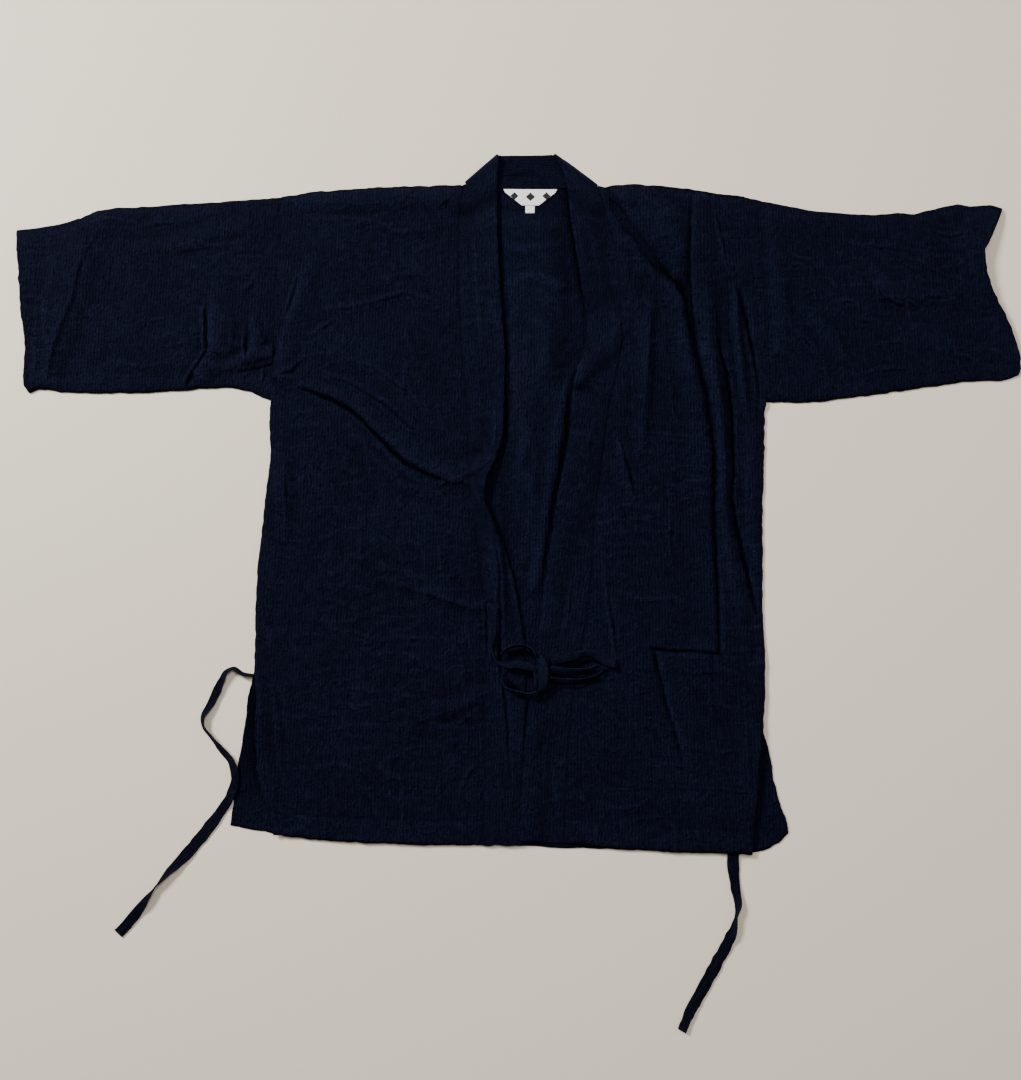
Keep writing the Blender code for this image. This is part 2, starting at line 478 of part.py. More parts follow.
def sleeve(name, top, under, cuff, folds, armhole_gap):
    """A flattened tube of cloth, open at the armhole and at the cuff."""
    stations, shares = np.linspace(0, 1, SLEEVE_STATIONS), np.linspace(0, 1, SLEEVE_COLUMNS)
    upper, lower = along(top, stations), along(under, stations)
    inset = np.array([0, CLOTH])
    upper, lower = upper - inset, lower + inset
    mouth = along(cuff, shares)
    mouth[:, 1] = np.interp(shares, [0, 1], [lower[-1, 1], upper[-1, 1]])
    mouth[:, 0] += np.interp(shares, [0, 0.5, 1], [lower[-1, 0] - mouth[0, 0], 0, upper[-1, 0] - mouth[-1, 0]])
    seam = lower[0] * (1 - shares)[:, None] + upper[0] * shares[:, None]
    corner = np.array([[lower[0], upper[0]], [lower[-1], upper[-1]]])
    outer, inner = [], []
    for k, s in enumerate(stations):
        v = shares[:, None]
        plan = (1 - v) * lower[k] + v * upper[k] + (1 - s) * seam + s * mouth
        plan = plan - (1 - s) * ((1 - v) * corner[0, 0] + v * corner[0, 1]) - s * ((1 - v) * corner[1, 0] + v * corner[1, 1])
        plan[:, 0] += armhole_gap * (1 - s)
        room = np.clip(np.minimum(plan[:, 1] - lower[k, 1], upper[k, 1] - plan[:, 1]) / 16, 0, 1)
        high = LAYER + raised(folds, plan[:, 0], plan[:, 1]) * room * (2 - room)
        below = np.column_stack([plan, np.full(SLEEVE_COLUMNS, CLOTH)])
        above = np.column_stack([plan, high])
        inner.append(np.concatenate([below, above[::-1]]))
        plan = plan + np.array([0, CLOTH]) * np.interp(shares, [0, 0.02, 0.98, 1], [-1, 0, 0, 1])[:, None]
        below = np.column_stack([plan, np.zeros(SLEEVE_COLUMNS)])
        above = np.column_stack([plan, high + CLOTH])
        outer.append(np.concatenate([below, above[::-1]]))
    tube(name, np.array(outer), np.array(inner), "cotton")


def pocket_points():
    """Grid of the pocket's underside: the left front's outer face, moved out."""
    columns, rows = POCKET_GRID
    low_west, low_east, high_east, high_west = (np.array(p, float) for p in POCKET_BOX)
    grid = []
    for v in np.linspace(0, 1, rows):
        west, east = low_west * (1 - v) + high_west * v, low_east * (1 - v) + high_east * v
        u = np.linspace(0, 1, columns)[:, None]
        plan = west * (1 - u) + east * u
        x, y = plan[:, 0], plan[:, 1]
        near = [raised(FOLDS_LEFT, x + dx, y + dy) for dx in (-9, -4, 0, 4, 9) for dy in (-6, 0, 6)]
        lift = fold(POCKET_MOUTH_LIFT, x, y)
        grid.append(np.column_stack([plan, LAYER + np.max(near, axis=0) + CLOTH + 2 * SEAM + lift]))
    return np.array(grid)


def label():
    grid = [
        np.array([[LABEL_X - half, y, LAYER], [LABEL_X, y, LAYER], [LABEL_X + half, y, LAYER]])
        for y, half in LABEL_ROWS[::-1]
    ]
    cloth("label", np.array(grid), TAPE, "label_tape")
    low, high = SIZE_TAB
    tab = [[(x, y, LAYER) for x in (low[0], high[0])] for y in (low[1], high[1])]
    cloth("size_tab", np.array(tab, float), TAPE, "label_tape")


def smooth(rows, step):
    """Rows along a smooth curve through these rows, about that far apart."""
    rows = np.array(rows, float)
    reach = np.concatenate([[0], np.cumsum(np.linalg.norm(np.diff(rows[:, :2], axis=0), axis=1))])
    slope = np.gradient(rows, reach, axis=0)
    made = []
    for s in np.linspace(0, reach[-1], max(3, round(reach[-1] / step) + 1)):
        k = min(int(np.searchsorted(reach, s, side="right")) - 1, len(rows) - 2)
        span = reach[k + 1] - reach[k]
        t = (s - reach[k]) / span
        made.append(
            rows[k] * (1 + 2 * t) * (1 - t) ** 2 + slope[k] * span * t * (1 - t) ** 2
            + rows[k + 1] * t * t * (3 - 2 * t) + slope[k + 1] * span * t * t * (t - 1)
        )
    return np.array(made)


def laid_tie(name, rows):
    """A flat tie that lies on what is below it, leaning where the rows say."""
    rows = smooth(rows, TIE_STEP)
    way = np.gradient(rows[:, :2], axis=0)
    side = np.column_stack([-way[:, 1], way[:, 0]]) / np.linalg.norm(way, axis=1)[:, None]
    rows[:, 2] = np.maximum(rows[:, 2], 0.1)
    lean = np.radians(rows[:, 4])
    half = rows[:, 3] / 2
    middle = rows[:, 2] + half * np.sin(np.abs(lean)) + TIE / 2
    grid = []
    for sign in (1, -1):
        plan = rows[:, :2] + side * (sign * half * np.cos(lean))[:, None]
        grid.append(np.column_stack([plan, middle + sign * half * np.sin(lean)]))
    cloth(name, np.array(grid).transpose(1, 0, 2), TIE, "cotton_tie", offset=0.0)


def ribbon(name, rows):
    """A stretch of tie in the bow, with its width set by bearing and rise."""
    rows = smooth(rows, BOW_STEP)
    bearing, rise = np.radians(rows[:, 3]), np.radians(rows[:, 4])
    width = np.column_stack([np.cos(rise) * np.cos(bearing), np.cos(rise) * np.sin(bearing), np.sin(rise)])
    grid = [rows[:, :3] + width * side * BOW_WIDTH / 2 for side in (1, -1)]
    cloth(name, np.array(grid).transpose(1, 0, 2), TIE, "cotton_tie", offset=0.0)


def knot():
    bm = bmesh.new()
    bmesh.ops.create_uvsphere(bm, u_segments=12, v_segments=8, radius=1)
    bmesh.ops.scale(bm, verts=bm.verts, vec=[half * MM for half in BOW_KNOT_HALF])
    bmesh.ops.translate(bm, verts=bm.verts, vec=[place * MM for place in BOW_KNOT_AT])
    mesh = bpy.data.meshes.new("bow_knot")
    bm.to_mesh(mesh)
    bm.free()
    make_object("bow_knot", mesh, "cotton_tie")


def main():
    clear_scene()
    back()
    front_right()
    front_left()
    collar()
    sleeve("sleeve_right", SLEEVE_RIGHT_TOP, SLEEVE_RIGHT_UNDER, SLEEVE_RIGHT_CUFF, FOLDS_SLEEVE_RIGHT, -ARMHOLE_GAP)
    sleeve("sleeve_left", SLEEVE_LEFT_TOP, SLEEVE_LEFT_UNDER, SLEEVE_LEFT_CUFF, FOLDS_SLEEVE_LEFT, ARMHOLE_GAP)
    cloth("pocket", pocket_points(), CLOTH, "cotton")
    label()
    laid_tie("side_tie_right", SIDE_TIE_RIGHT)
    laid_tie("side_tie_left", SIDE_TIE_LEFT)
    ribbon("front_tie_right", FRONT_TIE_RIGHT)
    ribbon("front_tie_left", FRONT_TIE_LEFT)
    ribbon("bow_loop_top", BOW_LOOP_TOP)
    ribbon("bow_ear_left", BOW_EAR_LEFT)
    ribbon("bow_ear_right", BOW_EAR_RIGHT)
    ribbon("bow_end", BOW_END)
    knot()


main()
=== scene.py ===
"""Looks of the samue jacket, laid flat: crinkled navy cotton, its folds, hems and stitching, the ties
and the bow, on a plain pale floor. Sizes and places are in millimetres in the jacket's own frame:
+X towards the wearer's left, +Y towards the neck, +Z up from the floor."""

import math

import bmesh
import bpy
import numpy as np
from mathutils import Matrix, Vector


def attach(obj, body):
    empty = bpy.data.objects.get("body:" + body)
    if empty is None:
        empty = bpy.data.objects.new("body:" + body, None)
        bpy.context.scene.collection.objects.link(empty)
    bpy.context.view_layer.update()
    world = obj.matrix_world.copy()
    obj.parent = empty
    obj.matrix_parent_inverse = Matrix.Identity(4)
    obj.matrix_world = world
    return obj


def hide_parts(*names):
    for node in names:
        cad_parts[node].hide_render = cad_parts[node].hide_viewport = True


MM = 0.001
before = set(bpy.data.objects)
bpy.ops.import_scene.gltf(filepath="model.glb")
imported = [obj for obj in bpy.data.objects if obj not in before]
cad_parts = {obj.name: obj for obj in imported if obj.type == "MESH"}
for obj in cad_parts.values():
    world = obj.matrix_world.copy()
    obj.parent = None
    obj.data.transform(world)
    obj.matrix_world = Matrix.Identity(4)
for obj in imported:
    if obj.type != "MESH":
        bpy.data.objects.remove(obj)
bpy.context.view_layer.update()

# Walls: the solids' levels, and the thinner cloth that shows
CLOTH, BAND, LAYER = 1.2, 2.4, 1.5
NECK_TOP = BAND + 0.1
SHELL, BAND_SHELL, POCKET_SHELL = 0.9, 1.5, 0.45

# Levels and side edges of the body, as rows of (y, x)
HEM_Y, UNDERARM_Y, SHOULDER_Y = -388.0, 103.0, 368.0
HEM_PULL_Y, SHOULDER_PULL_Y = -300.0, 230.0
ARMHOLE_RIGHT = ((358, -285), (UNDERARM_Y, -285))
ARMHOLE_LEFT = ((358, 266), (UNDERARM_Y, 283.5))
SIDE_RIGHT = ((92, -287), (70, -286), (40, -283), (7, -285), (-18, -287), (-77, -291), (-135, -292), (-193, -290))
SIDE_LEFT = ((90, 281.5), (48, 280), (7, 277.5), (-20, 275.5), (-77, 274), (-127, 271.5), (-180, 273), (-240, 271))
SLIT_RIGHT_BACK = ((-213, -291), (-235, -296), (-260, -297), (-280, -299), (-300, -302), (-340, -305), (-374, -308))
SLIT_RIGHT_FRONT = ((-213, -290), (-240, -285), (-280, -284), (-320, -280), (-335, -275), (-352, -268), (-382, -260))
SLIT_LEFT_BACK = ((-268, 268), (-280, 272), (-300, 276), (-320, 278), (-335, 281), (-348, 284.5), (-358, 290), (-378, 292))
SLIT_LEFT_FRONT = ((-268, 267.5), (-282, 265), (-300, 262), (-320, 260), (-340, 258), (-360, 255), (-398, 252))
SLIT_TOP_RIGHT, SLIT_TOP_LEFT = -213.0, -268.0

# Shoulder, neckline and hems, as rows of (x, y)
SHOULDER_RIGHT = ((-285, 353), (-240, 359.5), (-198, 363), (-140, 366.5), (-70, 368))
SHOULDER_LEFT = ((92, 367), (120, 369), (150, 370), (180, 368.5), (202, 365.5), (230, 360.5), (266, 356))
NECKLINE = ((-68, 370.5), (-60, 373), (-40, 371), (10, 370), (60, 371), (84, 372.5), (90, 369))
HEM_BACK = (
    (-308, -374), (-259, -381.5), (-173, -388), (-90, -390), (2, -392), (60, -394), (110, -395), (193, -395.5),
    (252, -397), (268, -393.5), (281, -387), (292, -377),
)
HEM_RIGHT = ((-260, -382.5), (-223, -387), (-173, -390), (-90, -392), (-36, -392))
HEM_LEFT = ((52, -388.5), (100, -394), (140, -396), (193, -397.5), (252, -399))
HEM_DEPTH = 27.0

# The collar band: its seam to the front and its free edge, as rows of (y, x)
BAND_SEAM_RIGHT = (
    (SHOULDER_Y, -70), (332, -72.5), (240, -73), (180, -68), (110, -61), (20, -57), (0, -57), (-38, -50), (-90, -43),
    (-170, -41), (-240, -37), (-290, -34.5), (-392, -36),
)
BAND_EDGE_RIGHT = (
    (332, -28), (280, -26), (240, -23), (200, -20.5), (157, -17), (107, -17), (57, -19), (32, -27), (10, -37), (-5, -39),
    (-18, -38), (-31, -31), (-45, -24), (-60, -17.5), (-75, -13.5), (-105, -5), (-140, 2), (-177, 7), (-240, 9), (-392, 8),
)
BAND_SEAM_LEFT = (
    (SHOULDER_Y, 92), (345, 99), (320, 105), (300, 111), (270, 116), (240, 118), (200, 119), (170, 118.5), (150, 116),
    (110, 106), (80, 101), (40, 96), (10, 92), (-20, 87), (-100, 83), (-150, 77), (-178, 72), (-240, 61), (-290, 57),
    (-340, 53.5), (-390, 52),
)
BAND_EDGE_LEFT = (
    (332, 58), (300, 63), (270, 68), (222, 75), (200, 78), (170, 77), (150, 70), (135, 64.5), (125, 62), (100, 60),
    (65, 58), (35, 53), (10, 48.5), (-10, 44), (-30, 41), (-55, 37.5), (-80, 33.5), (-110, 29), (-140, 26), (-177, 23),
    (-200, 20), (-237, 13), (-285, 8.5), (-320, 6), (-386, 3),
)
NECK_RIGHT = ((-71.1, 350, -28, 360), (-70.3, 360, -28, 384))
NECK_LEFT = ((97.8, 348, 56, 358), (94.2, 359, 51, 384))
FOLD_RIGHT = ((-66.2, 372.5), (-28.8, 406.8))
FOLD_LEFT = ((92, 369.3), (41.8, 408.3))
NECK_BACK = (
    (-45, 366.2, -24, 407.2), (-20, 365.7, -10, 407.6), (10, 365.4, 8, 407.6), (38, 365.7, 24, 408),
    (66, 366.2, 37, 408.8),
)

# Main folds, the same as in the solids: each row has the crest's x, y and height, and how far the fold
# reaches to the left and to the right of somebody who walks along the rows.
FOLDS_RIGHT = {
    "neck_turn": ((-70, 366, 3.6, 50, 34), (-28, 407, 4.5, 50, 50)),
    "band_edge": ((-28, 400, 2.5, 26, 40), (-28, 332, 4.0, 12, 40), (-23, 240, 2.8, 12, 36), (-18, 180, 1.0, 12, 30)),
    "band_curl": (
        (-17, 112, 1.5, 10, 24), (-20, 57, 4.0, 10, 24), (-30, 30, 6.0, 9, 24), (-39, 5, 7.5, 9, 24),
        (-39, -18, 7.5, 9, 22), (-30, -45, 6.0, 8, 22), (-24, -70, 4.5, 8, 20), (-21, -110, 3.4, 8, 20),
        (-20, -160, 2.4, 8, 20), (-20, -182, 0.3, 8, 18),
    ),
    "band_lower_edge": ((-14, -66, 0.8, 8, 8), (-2, -110, 1.5, 8, 10), (3, -145, 1.6, 8, 12), (7, -172, 0.6, 8, 10)),
    "chest": (
        (-258, 124, 0.6, 30, 7), (-233, 116.5, 1.6, 34, 7), (-212, 108.5, 2.4, 38, 7), (-191, 96, 3.0, 40, 7),
        (-157, 62.5, 3.5, 42, 7), (-144, 51.5, 3.7, 42, 7), (-124, 33.5, 3.7, 40, 7), (-92, 17.5, 3.2, 34, 8),
        (-74, 11, 2.4, 26, 10), (-50, 26, 1.8, 20, 11),
    ),
    "armhole": (
        (-246, 272, 1.0, 16, 14), (-256, 240, 3.0, 20, 14), (-266, 205, 4.0, 24, 12), (-274, 170, 4.0, 24, 9),
        (-278, 132, 2.5, 20, 7),
    ),
    "side": ((-275, 44, 1.0, 14, 8), (-270, 0, 3.0, 16, 12), (-266, -52, 1.0, 14, 14)),
    "waist": ((-150, -98, 0.8, 20, 12), (-95, -116, 1.8, 24, 12), (-48, -134, 1.2, 20, 10)),
    "skirt": ((-104, -254, 1.0, 20, 10), (-70, -246, 2.2, 22, 10), (-42, -234, 1.2, 18, 10)),
    "slit": ((-288, -218, 1.0, 14, 10), (-285, -250, 4.5, 16, 10), (-283, -290, 5.0, 18, 10), (-275, -335, 4.0, 22, 10),
             (-261, -384, 2.0, 24, 10)),
    "shoulder": ((-270, 352, 1.5, 26, 22), (-190, 356, 2.6, 26, 24), (-110, 360, 2.0, 26, 24)),
}
FOLDS_LEFT = {
    "neck_turn": ((92, 366, 3.6, 34, 50), (41, 409, 4.0, 50, 50)),
    "band_edge": (
        (46, 405, 1.6, 40, 20), (53, 380, 4.0, 44, 12), (57, 340, 7.5, 46, 12), (63, 300, 7.5, 46, 12),
        (68, 270, 5.5, 44, 12), (73, 240, 3.0, 36, 12), (78, 195, 1.0, 24, 12),
    ),
    "band_bulge": (
        (126, 204, 1.6, 24, 40), (109, 186, 3.6, 24, 52), (92, 168, 4.6, 24, 60), (76, 150, 5.2, 22, 64),
        (64, 132, 5.6, 18, 66),
    ),
    "band_lift": (
        (64, 116, 4.0, 50, 10), (60, 92, 7.5, 50, 10), (57, 62, 8.5, 50, 10), (51, 25, 8.0, 46, 10),
        (44, -12, 6.5, 42, 10), (38, -50, 4.6, 36, 10), (31, -95, 3.4, 30, 10), (25, -150, 3.0, 24, 10),
        (23, -170, 0.6, 20, 10),
    ),
    "band_lap": ((15, -228, 0.6, 22, 10), (10, -270, 3.4, 28, 10), (6, -330, 3.9, 30, 10), (2, -390, 4.0, 30, 10)),
    "band_seam": ((100, 345, 0.6, 16, 18), (113, 300, 1.2, 16, 20), (119, 252, 1.2, 18, 20), (130, 215, 0.6, 18, 20)),
    "shoulder": ((134, 362, 3.5, 26, 26), (166, 330, 6.0, 28, 28), (188, 288, 4.5, 22, 24), (194, 268, 2.0, 14, 20)),
    "lip": (
        (208, 353, 2.5, 18, 6), (206.5, 322, 4.5, 22, 6), (205.5, 292, 5.5, 24, 6), (205, 256, 6.5, 26, 6),
        (206.5, 218, 7.5, 28, 6), (212, 165, 7.2, 24, 6), (223.5, 100, 6.2, 20, 6), (229, 55, 5.6, 18, 6),
        (229.5, 10, 5.6, 18, 6), (226.5, -27, 5.2, 20, 6), (228.5, -102, 4.6, 20, 6), (228.5, -184, 3.6, 18, 7),
        (228.5, -215, 1.0, 14, 8),
    ),
    "roll": (
        (222, 262, 1.5, 16, 14), (222, 219, 3.6, 13, 14), (223, 165, 4.4, 11, 14), (232, 96, 4.6, 9, 12),
        (234, 30, 4.4, 9, 12), (233, -27, 4.2, 10, 12), (240, -78, 4.4, 12, 14), (246, -125, 4.0, 14, 14),
        (247, -180, 2.4, 14, 14), (244, -225, 0.5, 14, 14),
    ),
    "before_lip": (
        (180, 300, 1.0, 18, 24), (178, 262, 3.0, 20, 24), (184, 219, 4.2, 20, 20), (191, 165, 4.2, 20, 20),
        (202, 100, 3.4, 19, 24), (207, 40, 2.8, 19, 26), (205, -27, 2.4, 18, 26), (208, -102, 2.2, 18, 24),
        (208, -176, 1.0, 18, 20),
    ),
    "second_roll": ((251, 246, 2.0, 8, 9), (251, 205, 5.0, 8, 9), (253, 160, 5.5, 9, 8), (257, 120, 3.5, 8, 9),
                    (259, 84, 1.0, 8, 10)),
    "side": ((262, 70, 1.5, 14, 12), (262, 10, 3.0, 14, 14), (262, -50, 3.0, 14, 12), (266, -84, 1.5, 12, 10)),
    "chest": (
        (152, 228, 1.5, 8, 18), (150, 192, 5.0, 8, 24), (149, 150, 5.0, 8, 24), (146, 108, 5.0, 8, 22),
        (141, 68, 3.0, 8, 18), (138, 44, 1.0, 8, 14),
    ),
    "waist": ((118, 44, 1.0, 12, 16), (117, 18, 2.4, 9, 16), (124, -16, 1.0, 9, 14)),
    "slit": ((268, -264, 0.8, 10, 12), (263, -298, 4.0, 10, 16), (258, -340, 4.2, 10, 18), (253, -388, 2.2, 10, 20)),
    "over_tie": ((266, -198, 3.0, 22, 22), (263, -240, 3.0, 22, 22), (249, -330, 3.0, 20, 20), (231, -402, 2.8, 20, 20)),
}
FOLDS_SLEEVE_RIGHT = {
    "cuff": (
        (-500, 322, 1.2, 22, 40), (-507, 298, 3.0, 24, 46), (-515, 285, 4.2, 26, 50), (-522, 262, 4.8, 26, 50),
        (-525, 225, 5.2, 26, 48), (-532, 203, 5.2, 26, 44), (-541, 170, 5.0, 24, 40), (-546, 145, 4.4, 22, 36),
        (-546, 122, 3.0, 18, 30),
    ),
    "middle": ((-360, 232, 1.0, 26, 10), (-357, 196, 4.0, 28, 10), (-356, 164, 5.0, 26, 10), (-370, 136, 4.0, 22, 12)),
    "inner": ((-310, 200, 1.0, 14, 9), (-308, 172, 3.6, 14, 9), (-310, 152, 2.5, 12, 8)),
    "underarm": ((-350, 138, 1.5, 14, 9), (-318, 150, 3.4, 16, 9), (-288, 158, 3.0, 16, 9)),
    "long": ((-450, 284, 1.0, 20, 12), (-390, 296, 2.6, 24, 14), (-330, 316, 1.2, 20, 12)),
}
FOLDS_SLEEVE_LEFT = {
    "elbow": ((416, 252, 1.0, 22, 12), (424, 240, 2.8, 28, 12), (440, 231, 3.2, 32, 13), (472, 236, 2.0, 30, 16),
              (508, 244, 0.6, 20, 14)),
    "lower": ((420, 188, 0.5, 18, 14), (468, 180, 1.2, 20, 14), (524, 162, 1.0, 18, 14)),
    "cuff": (
        (566, 336, 1.0, 10, 30), (550, 306, 7.0, 10, 46), (541, 286, 9.5, 10, 54), (547, 250, 8.0, 10, 52),
        (559, 214, 4.0, 10, 42), (572, 176, 1.5, 10, 30),
    ),
    "seam": ((292, 330, 1.0, 16, 12), (298, 250, 2.6, 20, 14), (300, 170, 2.0, 18, 14)),
    "over": ((330, 214, 1.0, 14, 14), (352, 190, 2.6, 16, 16), (372, 160, 1.2, 14, 14)),
}

# Small creases that only the cloth has, in the same columns; a height below zero is a trough
CREASES_RIGHT = {
    "ridge": ((-240, 211, 0.3, 9, 9), (-205, 214, 0.7, 10, 9), (-165, 224, 0.7, 10, 9), (-138, 234, 0.8, 10, 8),
              (-108, 225, 0.7, 9, 8), (-92, 216, 0.6, 9, 8), (-62, 214, 0.3, 8, 8)),
    "sag_1": ((-236, 136, 0.2, 9, 6), (-196, 122, 1.0, 10, 6), (-160, 100, 1.2, 10, 6), (-128, 72, 0.9, 10, 6),
              (-100, 58, 0.2, 8, 6)),
    "sag_2": ((-210, 156, 0.2, 9, 7), (-172, 142, 0.7, 10, 7), (-136, 116, 0.8, 10, 7), (-108, 92, 0.2, 8, 6)),
    "chest_line": ((-254, 117, -0.5, 4, 4), (-235, 110, -1.6, 4, 4), (-214, 102, -2.0, 4, 4), (-194, 90, -2.1, 4, 4),
                   (-178, 77, -2.2, 4, 4), (-148, 46, -2.1, 4, 4), (-128, 27.5, -1.6, 4, 4), (-117, 22, -1.3, 4, 4),
                   (-95, 11.5, -0.9, 4, 4), (-76, 5, -0.6, 4, 4), (-68, 3, -0.1, 3, 3)),
    "below_chest": ((-206, 80, 0.2, 10, 14), (-166, 46, 0.8, 10, 16), (-128, 12, 0.9, 10, 16), (-90, -6, 0.2, 10, 12)),
    "lean": ((-262, 262, 0.3, 7, 6), (-265, 240, 1.1, 7, 6), (-272, 215, 1.1, 7, 6), (-277, 200, 0.3, 6, 6)),
    "underarm_1": ((-283, 132, 0.4, 6, 6), (-265, 138, 1.2, 7, 6), (-252, 153, 0.4, 7, 6)),
    "underarm_2": ((-244, 182, 0.2, 7, 6), (-228, 192, 0.8, 8, 6), (-212, 205, 0.2, 7, 6)),
    "side": ((-268, 28, 0.3, 6, 5), (-265, -2, 0.9, 6, 5), (-262, -48, 0.3, 6, 6)),
    "press_1": ((-131, 200, 0.1, 6, 6), (-133, 120, 0.5, 6, 6), (-135, 78, 0.1, 6, 6)),
    "press_2": ((-176, 20, 0.1, 6, 6), (-178, -60, 0.45, 6, 6), (-180, -150, 0.1, 6, 6)),
    "waist": ((-158, -100, 0.2, 8, 5), (-118, -117, 0.7, 9, 5), (-85, -127, 0.8, 9, 5), (-52, -137, 0.7, 8, 5),
              (-38, -142, 0.2, 6, 5)),
    "low_1": ((-190, -248, 0.2, 7, 6), (-165, -245, 0.8, 8, 6), (-143, -260, 0.2, 7, 6)),
    "low_2": ((-84, -269, 0.2, 7, 5), (-60, -261, 0.7, 8, 5), (-38, -243, 0.3, 7, 5)),
    "low_3": ((-36, -300, 0.3, 5, 6), (-52, -314, 0.7, 5, 7), (-60, -334, 0.5, 5, 7), (-62, -348, 0.2, 5, 6)),
    "low_4": ((-232, -140, 0.1, 8, 8), (-200, -160, 0.6, 9, 8), (-160, -172, 0.7, 9, 8), (-122, -170, 0.1, 8, 8)),
    "low_5": ((-226, -316, 0.1, 8, 6), (-196, -308, 0.7, 8, 6), (-168, -314, 0.2, 7, 6)),
    "low_6": ((-120, -210, 0.1, 7, 7), (-96, -202, 0.6, 8, 7), (-70, -208, 0.1, 7, 7)),
    "slit_1": ((-270, -214, 0.2, 14, 9), (-264, -242, 0.8, 18, 12), (-258, -276, 0.8, 18, 12),
               (-252, -330, 0.4, 16, 12), (-241, -362, 0.1, 10, 10)),
    "hem_1": ((-206, -352, 0.1, 5, 7), (-204, -374, 0.7, 5, 7), (-205, -392, 0.5, 5, 7)),
    "hem_2": ((-122, -356, 0.1, 5, 7), (-124, -378, 0.6, 5, 7), (-124, -394, 0.5, 5, 7)),
    "shoulder_1": ((-256, 330, 0.1, 8, 6), (-226, 322, 0.8, 9, 6), (-196, 326, 0.2, 8, 6)),
    "shoulder_2": ((-168, 318, 0.1, 8, 7), (-136, 308, 0.6, 9, 7), (-100, 314, 0.1, 8, 7)),
}
CREASES_LEFT = {
    "valley": ((100, 370, -2.2, 13, 8), (113, 341, -3.0, 14, 10), (126, 317, -3.2, 15, 12), (142, 299, -3.2, 15, 13),
               (153, 279, -3.2, 15, 13), (168, 262, -3.1, 14, 13), (183, 245, -2.8, 13, 12), (196, 228, -1.6, 10, 10)),
    "corner": ((176, 256, -0.4, 12, 12), (190, 236, -1.4, 14, 12), (197, 216, -1.8, 12, 10), (200, 190, -1.2, 10, 8),
               (203, 156, -0.3, 8, 6)),
    "lip_foot": ((205, 352, -0.8, 3, 8), (200.5, 298, -1.8, 3, 12), (199.5, 240, -2.6, 3, 18), (202.5, 180, -2.4, 3, 15),
                 (215.5, 110, -2.1, 3, 9), (223.5, 40, -2.0, 3, 7), (220.5, -40, -1.8, 3, 7), (223, -130, -1.6, 3, 7),
                 (223.5, -187, -1.6, 3, 6)),
    "far_valley": ((250, 250, -0.6, 7, 7), (258, 228, -1.8, 7, 7), (263, 202, -2.0, 5, 5), (267, 178, -2.0, 5, 5),
                   (271, 150, -1.5, 4, 4), (275, 118, -1.0, 4, 4), (272, 84, -0.4, 4, 4)),
    "chest_crease": ((152, 224, -0.3, 5, 3), (153, 198, -1.2, 6, 3), (151, 150, -1.3, 6, 3), (146, 100, -1.0, 6, 3),
                     (141, 70, -0.2, 5, 3)),
    "roll_line": ((230, 178, -0.8, 3, 4), (234, 155, -1.6, 3, 4), (239, 138, -1.9, 3, 4), (243, 105, -2.1, 3, 4),
                  (244, 60, -2.2, 3, 4), (244, 18, -2.2, 3, 4), (241, -10, -2.1, 3, 4), (245, -40, -2.0, 4, 5),
                  (252, -77, -2.0, 4, 6), (259, -112, -1.8, 4, 6), (265, -140, -1.4, 4, 5)),
    "shoulder_pinch": ((228, 350, 0.2, 6, 6), (232, 322, 0.9, 7, 6), (238, 290, 0.9, 7, 6), (243, 262, 0.2, 6, 6)),
    "band_lean": ((66, 120, -0.4, 10, 10), (80, 137, -1.1, 13, 12), (100, 158, -1.2, 14, 13), (120, 180, -1.0, 14, 12),
                  (134, 196, -0.3, 12, 10)),
    "middle_1": ((110, 66, 0.2, 5, 7), (114, 56, 1.0, 5, 8), (120, 34, 1.1, 5, 8), (125, 14, 1.0, 5, 8),
                 (131, -16, 0.2, 5, 7)),
    "middle_2": ((92, -70, 0.1, 6, 6), (97, -104, 0.6, 6, 6), (101, -140, 0.9, 6, 6), (106, -172, 0.9, 5, 6),
                 (108, -200, 0.2, 5, 6)),
    "middle_3": ((168, 30, 0.1, 7, 7), (172, -10, 0.6, 7, 7), (170, -60, 0.7, 7, 7), (172, -112, 0.1, 7, 7)),
    "middle_4": ((186, 60, 0.1, 8, 6), (176, 96, 0.7, 8, 6), (172, 132, 0.1, 7, 6)),
    "cross_1": ((128, -44, 0.1, 6, 6), (152, -52, 0.6, 7, 6), (180, -46, 0.2, 6, 6)),
    "cross_2": ((112, -118, 0.1, 6, 6), (140, -128, 0.7, 7, 6), (172, -124, 0.6, 7, 6), (196, -132, 0.1, 6, 6)),
    "low_1": ((66, -232, 0.1, 6, 5), (84, -246, 0.9, 7, 5), (104, -254, 0.3, 6, 5)),
    "low_2": ((70, -290, 0.1, 6, 6), (86, -306, 0.8, 6, 6), (96, -330, 0.2, 6, 6)),
    "hem_1": ((88, -356, 0.1, 5, 7), (86, -378, 0.7, 5, 7), (87, -396, 0.5, 5, 7)),
    "hem_2": ((168, -358, 0.1, 6, 7), (171, -380, 0.7, 6, 7), (170, -398, 0.5, 6, 7)),
    "mouth": ((147, -180.5, -0.8, 4, 3), (153, -181.3, -1.8, 4, 3), (190, -183.6, -1.4, 4, 3), (214, -185, -1.7, 4, 3),
              (223, -185.6, -1.4, 4, 3), (228, -186, -0.4, 4, 3), (250, -187.3, -0.3, 4, 3)),
    "under_ear": ((44, -199, -0.6, 5, 5), (58, -197.5, -2.2, 6, 6), (70, -195, -2.2, 6, 6), (82, -195, -0.6, 5, 5)),
    "side_1": ((256, 44, 0.1, 5, 5), (258, 0, 0.7, 5, 5), (256, -60, 0.1, 5, 5)),
}
